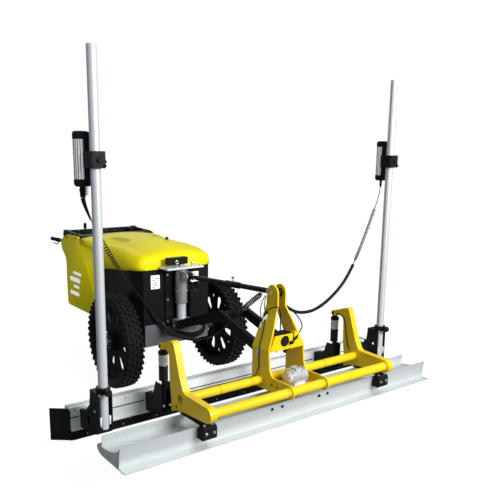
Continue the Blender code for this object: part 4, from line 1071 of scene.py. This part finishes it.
@draws("beam", "grader", "alloy", bevel=0.0005)
def beam_ends(bm):
    """Screwed end plates of the beam and its ledge."""
    outline = [(0.647, 0.198), (0.738, 0.198), (0.743, 0.203), (0.743, 0.328), (0.738, 0.333), (0.67, 0.333),
               (0.664, 0.28), (0.66, 0.262), (0.66, 0.208), (0.647, 0.204)]
    for s in BOTH:
        side_plate(bm, outline, s, 1.2651, 1.2675)
        for y, z in ((0.68, 0.218), (0.725, 0.218), (0.725, 0.315), (0.685, 0.315)):
            stub(bm, (s * 1.2672, y, z), (s * 0.0016, 0, 0), 0.005, 12, 0.0006)


@draws("dark", "grader", "alloy")
def beam_slots(bm):
    """Shadow lines of the beam's open grooves, front, top and back, and the blocks at its ends."""
    for s in BOTH:
        for near, far in ((0.775, 1.105), (1.215, 1.2645), (0.0, 0.69)):
            x0, x1 = sorted((s * near, s * far))
            box(bm, (x0, 0.664, 0.2715), (x1, 0.6664, 0.2765))
        box(bm, (s * 1.27 - 0.0075, 0.65, 0.14), (s * 1.27 + 0.0075, 0.667, 0.194))
    box(bm, (-1.264, 0.7445, 0.262), (1.264, 0.7456, 0.27))
    box(bm, (-1.264, 0.7, 0.3345), (1.264, 0.706, 0.3356))


@draws("bright", "grader", "steel")
def bracket_bolts(bm):
    for s in BOTH:
        x = s * MX
        bolts(bm, ((x - 0.032, 0.3998, 0.485), (x + 0.032, 0.3998, 0.485)), AHEAD, 0.006, 0.005)
        bolts(bm, ((x - 0.032, 0.605, 0.3345), (x + 0.032, 0.605, 0.3345)), (0, -0.35, 0.94), 0.007, 0.006)
        for way in (-s, s):
            hex_bolt(bm, (x + way * 0.0452, 0.44, 0.38), (way, 0, 0), 0.007, 0.006)
        x = s * AX
        bolts(bm, ((x - 0.022, 0.4525, 0.3), (x + 0.022, 0.4525, 0.3)), AHEAD, 0.007, 0.006)
        bolts(bm, ((x - 0.022, 0.59, 0.3465), (x + 0.022, 0.59, 0.3465)), (0, -0.26, 0.97), 0.007, 0.006)


@draws("white", "grader", "steel")
def bracket_slots(bm):
    shape = arc((0.0, 0.348), 0.0055, 0, 180, 8) + arc((0.0, 0.303), 0.0035, 180, 360, 8)
    for s in BOTH:
        for x in (s * MX - 0.028, s * MX + 0.028):
            prism(bm, [(x + p, q) for p, q in shape], 1, 0.3992, 0.4025)


def mast_trim(side, s):
    """Dark lines of the mast's grooves, and its end plug."""
    @draws("post", "mast_" + side, "alloy", side)
    def mast_strips(bm):
        for turn in (190, -10, 90):
            a = math.radians(turn)
            verts = box(bm, (-0.0004, -0.0022, 0.545), (0.0008, 0.0022, 2.346))
            bmesh.ops.rotate(bm, verts=verts, cent=(0, 0, 0), matrix=Matrix.Rotation(a, 3, "Z"))
            at = (s * MX + 0.0268 * math.cos(a), MY + 0.0268 * math.sin(a), 0)
            bmesh.ops.translate(bm, verts=verts, vec=at)

    @draws("plastic", "mast_" + side, "plastic", side)
    def mast_plug(bm):
        stub(bm, (s * MX, MY, 2.33), (0, 0, 0.0185), 0.0232, 28, 0.002)


for side, s in SIDES:
    mast_trim(side, s)


# ---------------------------------------------------------------- height actuators
@draws("plastic", "frame", "black_paint")
def actuator_rings(bm):
    for s in BOTH:
        stub(bm, (s * AX, AY, 0.6205), (0, 0, 0.0085), 0.0318, 28, 0.0025)
        stub(bm, (s * AX, AY, 0.629), (0, 0, 0.0125), 0.031, 28, 0.0025)
        band(bm, (s * AX, AY, 0.54), UP, 0.0262, 0.0298, 0.0055)


@draws("cast_alloy", "frame", "steel")
def actuator_ribs(bm):
    for s in BOTH:
        for px, py in circle(0.0266, 12):
            stub(bm, (s * AX + px, AY + py, 0.556), (0, 0, 0.06), 0.0024, 8, 0)
        for z in (0.562, 0.61):
            band(bm, (s * AX, AY, z), UP, 0.026, 0.0285, 0.004)


# ---------------------------------------------------------------- tractor's nose
PANES = ((-0.2345, -0.1555, 0.7755, 0.8845), (0.1285, 0.2045, 0.7955, 0.8795))      # x and z limits
POST_Y = 1.47


@draws("sheet", "tractor", "receiver")
def nose_windows(bm):
    """Pale sight panels behind the nose's two openings; they are painted light and glow white without a lamp.
    """
    for x0, x1, z0, z1 in PANES:
        box(bm, (x0, 1.5362, z0), (x1, 1.5376, z1))


@draws("post", "tractor", "receiver")
def window_marks(bm):
    for x0, x1, z0, z1 in PANES:
        for k in range(7):
            wide = (x1 - x0) * (0.3 + 0.1 * (k % 3))
            z = z0 + 0.01 + (z1 - z0 - 0.028) * k / 6
            left = x0 + 0.01 + 0.02 * (k % 2)
            box(bm, (left, 1.5357, z), (min(left + wide, x1 - 0.008), 1.5364, z + 0.007))


@draws("black", "tractor", "black_paint", bevel=0.0004)
def window_trims(bm):
    gap, wide = 0.0005, 0.0045
    for x0, x1, z0, z1 in PANES:
        for a, b, c, d in ((x0 - wide, x0 - gap, z0 - wide, z1 + wide),
                           (x1 + gap, x1 + wide, z0 - wide, z1 + wide),
                           (x0 - gap, x1 + gap, z0 - wide, z0 - gap),
                           (x0 - gap, x1 + gap, z1 + gap, z1 + wide)):
            box(bm, (a, 1.5335, c), (b, 1.5352, d))


@draws("plastic", "tractor", "black_paint", bevel=0.004, replaces=("swing_lock",))
def swing_lock_case(bm):
    box(bm, (-0.128, 1.443, 0.969), (0.046, 1.494, 1.022))
    for x in (-0.118, -0.012):
        box(bm, (x, 1.456, 1.0215), (x + 0.048, 1.481, 1.0235))


@draws("grey", "tractor", "engine", bevel=0.001)
def belly_panel(bm):
    box(bm, (-0.292, 1.5328, 0.3165), (0.292, 1.5352, 0.49))
    for s in BOTH:
        side_plate(bm, [(1.668, 0.318), (2.14, 0.318), (2.14, 0.49), (1.7, 0.49)], s, 0.3448, 0.347)


@draws("bright", "tractor", "steel")
def nose_pins(bm):
    """Pins with rings on the bracket's top plate, and the bracket's bolts."""
    for x in (-0.06, 0.075):
        stub(bm, (x, 1.432, 0.949), (0, 0, 0.029), 0.006, 16)
        torus(bm, (x, 1.432, 0.99), (0, 1, 0), 0.012, 0.0032, 24)
        stub(bm, (x, 1.432, 0.949), (0, 0, 0.004), 0.012, 20)
    bolts(bm, [(x, y, 0.949) for x in (-0.14, 0.145) for y in (1.42, 1.5)], UP, 0.0075, 0.006)
    bolts(bm, [(x, 1.5203, z) for x in (-0.095, 0.095) for z in (0.5, 0.68, 0.88)], AHEAD, 0.008, 0.006)


@draws("post", "swing", "steel")
def post_collars(bm):
    for z, height, r in ((0.742, 0.02, 0.05), (0.655, 0.009, 0.049), (0.925, 0.0105, 0.049)):
        stub(bm, (0, POST_Y, z), (0, 0, height), r, 36, 0.003)
    hex_bolt(bm, (-0.05, 1.455, 0.752), (-1, -0.3, 0), 0.0065, 0.006)


@draws("mast", "swing", "steel", smooth=40)
def post_foot(bm):
    """The flared lower tube and its round foot, with a bent handle."""
    lathe(bm, [(0.0362, 0), (0.05, 0), (0.052, 0.004), (0.05, 0.009), (0.04, 0.014), (0.0372, 0.03),
               (0.0366, 0.166), (0.0362, 0.166)], (0, POST_Y, 0.4885), UP, 36)
    hose(bm, ((0.05, 1.44, 0.497), (0.075, 1.425, 0.485), (0.1, 1.42, 0.494), (0.124, 1.42, 0.505)), 24,
         0.006, 10)
    lathe(bm, [(0, 0), (0.012, 0), (0.014, 0.004), (0.014, 0.016), (0.01, 0.02), (0, 0.02)],
          (0.118, 1.42, 0.503), (1, 0, 0.2), 18)


@draws("engine", "tractor", "engine", smooth=40)
def swing_motor(bm):
    y, z = 1.492, 0.44
    lathe(bm, [(0, 0), (0.028, 0), (0.032, 0.004), (0.032, 0.07), (0.028, 0.078), (0.014, 0.08),
               (0.014, 0.094), (0, 0.094)], (-0.16, y, z), RIGHT, 28)
    box(bm, (-0.128, 1.48, 0.41), (-0.092, 1.52, 0.425))
    for k in range(6):
        band(bm, (-0.15 + 0.011 * k, y, z), RIGHT, 0.031, 0.0345, 0.004)


@draws("cable", "tractor", "cable", smooth=60)
def nose_hoses(bm):
    """Hoses clipped under the nose, from the tub's left side to the lift block."""
    route = ((-0.27, 1.523, 0.64), (-0.205, 1.516, 0.52), (-0.15, 1.508, 0.452), (-0.08, 1.5, 0.402),
             (0.0, 1.494, 0.372), (0.08, 1.492, 0.352), (0.16, 1.5, 0.345), (0.23, 1.512, 0.36),
             (0.262, 1.521, 0.4))
    for k in range(4):
        d = 0.011 * k
        raised = [Vector(p) + Vector((0, 0, d)) for p in route]
        raised[0].y += 0.4 * d
        hose(bm, raised, 60, 0.0072, 10)


@draws("plastic", "tractor", "plastic", bevel=0.0015)
def lift_block_details(bm):
    """Lid, front ribs and hose stubs of the black valve block, and the box below it."""
    box(bm, (0.052, 1.42, 0.738), (0.204, 1.52, 0.752))
    for k in range(5):
        box(bm, (0.068 + 0.028 * k, 1.4215, 0.585), (0.076 + 0.028 * k, 1.4245, 0.72))
    for x in (0.09, 0.15):
        stub(bm, (x, 1.45, 0.752), (0, 0, 0.023), 0.0085)
        hose(bm, ((x, 1.45, 0.772), (x + 0.004, 1.462, 0.805), (x + 0.02, 1.505, 0.8),
                  (x + 0.03, 1.53, 0.77)),
             30, 0.006, 10)
    box(bm, (0.06, 1.43, 0.452), (0.196, 1.519, 0.562))


# ---------------------------------------------------------------- console
PANEL_Z = 1.0518                                # the console's panel


@draws("plastic", "tractor", "plastic", bevel=0.0025)
def console_cowl(bm):
    """Raised black surround of the controls, with a sloped front edge and stepped sides."""
    for s in BOTH:
        side_plate(bm, [(2.572, 1.029), (2.968, 1.029), (2.976, 1.06), (2.96, 1.104), (2.9, 1.11),
                        (2.86, 1.098), (2.62, 1.094), (2.578, 1.088)], s, 0.33, 0.3565)
    prism(bm, [(2.574, 1.029), (2.6, 1.029), (2.7, 1.053), (2.69, 1.084), (2.58, 1.088)], 0, -0.3295,
          0.3295)
    box(bm, (-0.3295, 2.944, 1.053), (0.3295, 2.966, 1.098))
    for k in range(6):
        box(bm, (-0.358, 2.64 + 0.045 * k, 1.085), (-0.356, 2.66 + 0.045 * k, 1.096))


@draws("plastic", "tractor", "plastic", smooth=40, bevel=0.0015)
def console_levers(bm):
    for x in (-0.28, -0.06, 0.08, 0.24):
        stub(bm, (x, 2.74, PANEL_Z), (0, 0, 0.0562), 0.006, 12)
        lathe(bm, [(0, 0), (0.011, 0), (0.013, 0.006), (0.01, 0.016), (0, 0.018)], (x, 2.74, 1.106), UP, 16)
    for x in (-0.24, 0.01, 0.29):
        box(bm, (x - 0.022, 2.85, PANEL_Z), (x + 0.022, 2.89, 1.098))


@draws("plastic", "tractor", "plastic", smooth=40)
def console_knobs(bm):
    """Dials, three toggles, the screen's frame, the panel's front edge and the joystick's ring."""
    for k, x in enumerate((-0.285, -0.245, -0.08, -0.035, 0.01, 0.2, 0.245, 0.29)):
        lathe(bm, [(0, 0), (0.012, 0), (0.012, 0.003), (0.008, 0.004), (0.0075, 0.016), (0, 0.017)],
              (x, 2.7 + 0.05 * (k % 2), PANEL_Z), UP, 18)
    for x in (-0.06, 0.0, 0.06):
        stub(bm, (x, 2.64, PANEL_Z), (0, 0, 0.0012), 0.01, 18, 0.0006)
        tube(bm, [(x, 2.64, 1.052), (x, 2.632, 1.076)], [0.003, 0.0042])
    box(bm, (-0.12, 2.79, 1.0515), (0.04, 2.86, 1.056))
    prism(bm, [(2.56, 1.029), (2.6, 1.029), (2.6, 1.048)], 0, -0.325, 0.325)
    lathe(bm, [(0.031, 0), (0.034, 0), (0.033, 0.006), (0.031, 0.006)], (-0.17, 2.9, 1.0515), UP, 28)


@draws("pale", "tractor", "receiver", bevel=0.0003)
def console_screen(bm):
    box(bm, (-0.105, 2.797, 1.0558), (0.025, 2.853, 1.0568))
    for x in (0.2, 0.245):
        stub(bm, (x, 2.82, 1.0515), (0, 0, 0.0045), 0.0085, 18)


@draws("rubber", "stick", "rubber", smooth=40)
def stick_boot(bm):
    lathe(bm, [(0.0075, 0.0185), (0.011, 0.018), (0.012, 0.023), (0.01, 0.027), (0.0115, 0.031),
               (0.0085, 0.035), (0.01, 0.039), (0.0062, 0.043), (0.0052, 0.043)],
          (-0.17, 2.9, 1.0452), UP, 24)


# ---------------------------------------------------------------- grips and tail
@draws("rubber", "tractor", "rubber", smooth=40)
def handle_grips(bm):
    """Ribbed grips with a collar, and a thin guard below each."""
    ribs = [(0.0175 - 0.0012 * (k % 2), 0.014 + 0.006 * k) for k in range(18)]
    for s in BOTH:
        x = s * 0.345
        lathe(bm, [(0, 0), (0.0155, 0), (0.019, 0.004), (0.0175, 0.01), *ribs, (0.019, 0.128), (0.017, 0.134),
                   (0, 0.134)], (x, 3.289, 0.985), (0, -1, 0.026), 28)
        torus(bm, (x, 3.125, 0.989), (0, 1, 0), 0.017, 0.0045, 28)
        hose(bm, ((x, 3.128, 0.974), (x, 3.15, 0.952), (x, 3.2, 0.944), (x, 3.262, 0.95)), 24, 0.0042)


@draws("dark", "tractor", "black_paint")
def tail_door(bm):
    """The gap round the back panel's door, and its louvres."""
    for x0, x1, z0, z1 in ((-0.25, -0.246, 0.505, 0.78), (0.246, 0.25, 0.505, 0.78),
                           (-0.25, 0.25, 0.505, 0.509), (-0.25, 0.25, 0.776, 0.78)):
        box(bm, (x0, 2.8815, z0), (x1, 2.8865, z1))
    for k in range(9):
        box(bm, (-0.13, 2.8815, 0.56 + 0.016 * k), (0.13, 2.8862, 0.566 + 0.016 * k))


@draws("steel", "tractor", "steel")
def tail_catches(bm):
    """The door's two catches, the handlebar's bolts and the cover's side screws."""
    for s in BOTH:
        stub(bm, (s * 0.215, 2.882, 0.64), (0, 0.007, 0), 0.011, 20, 0.002)
        bolts(bm, [(s * 0.22 + dx, 3.012, 1.002) for dx in (-0.012, 0.012)], UP, 0.006, 0.005)
        for y, z in ((2.215, 0.46), (2.215, 0.985), (2.8, 0.985)):
            stub(bm, (s * 0.3745, y, z), (s * 0.003, 0, 0), 0.0065, 16)


# ---------------------------------------------------------------- CAD nodes that stay
CARRIED = {
    "yellow": ["front_tube", "rear_tube", "cross_box", "base_plate", "end_plate_*", "tower_plate_*"],
    "black": ["wing_*", "mast_bracket_*", "lift_rod_*", "lower_arms", "top_link", "chassis", "lift_block",
              "handlebar", "cutting_edge"],
    "iron": ["counterweight", "rim_*"],
    "alloy": ["vib_plate"],
    "beam": ["scraper_beam"],
    "bracket": ["nose_bracket"],
    "mast": ["mast_left", "mast_right"],
    "steel": ["vibrator_rotor", "lower_pin", "top_pin", "axle", "prop_stand"],
    "post": ["swing_post"],
    "rubber": ["pad_bar_*", "mount_*", "pivot_plug"],
    "plastic": ["clamp_knob_*", "console", "joystick", "stop_button"],
    "engine": ["power_unit"],
    "actuator": ["actuator_*"],
}
EDGES = {"end_plate_*": 0.0035, "tower_plate_*": 0.0025, "cross_box": 0.004, "base_plate": 0.002,
         "scraper_beam": 0.0006, "cutting_edge": 0.001, "wing_*": 0.0015, "mast_bracket_*": 0.0015,
         "lift_rod_*": 0.0012, "lower_arms": 0.003, "chassis": 0.003, "nose_bracket": 0.0012,
         "mount_*": 0.002, "pad_bar_*": 0.0015, "power_unit": 0.003, "counterweight": 0.003}


def both(name):
    """The nodes that a name stands for, a star being left and right."""
    return [name.replace("*", side) for side, s in SIDES] if "*" in name else [name]


for mat, names in CARRIED.items():
    for name in names:
        for node in both(name):
            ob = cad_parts[node]
            ob.data.materials.clear()
            ob.data.materials.append(M[mat])
            ob.data.polygons.foreach_set("material_index", [0] * len(ob.data.polygons))
            if name in EDGES:
                soften(ob, EDGES[name], 3)
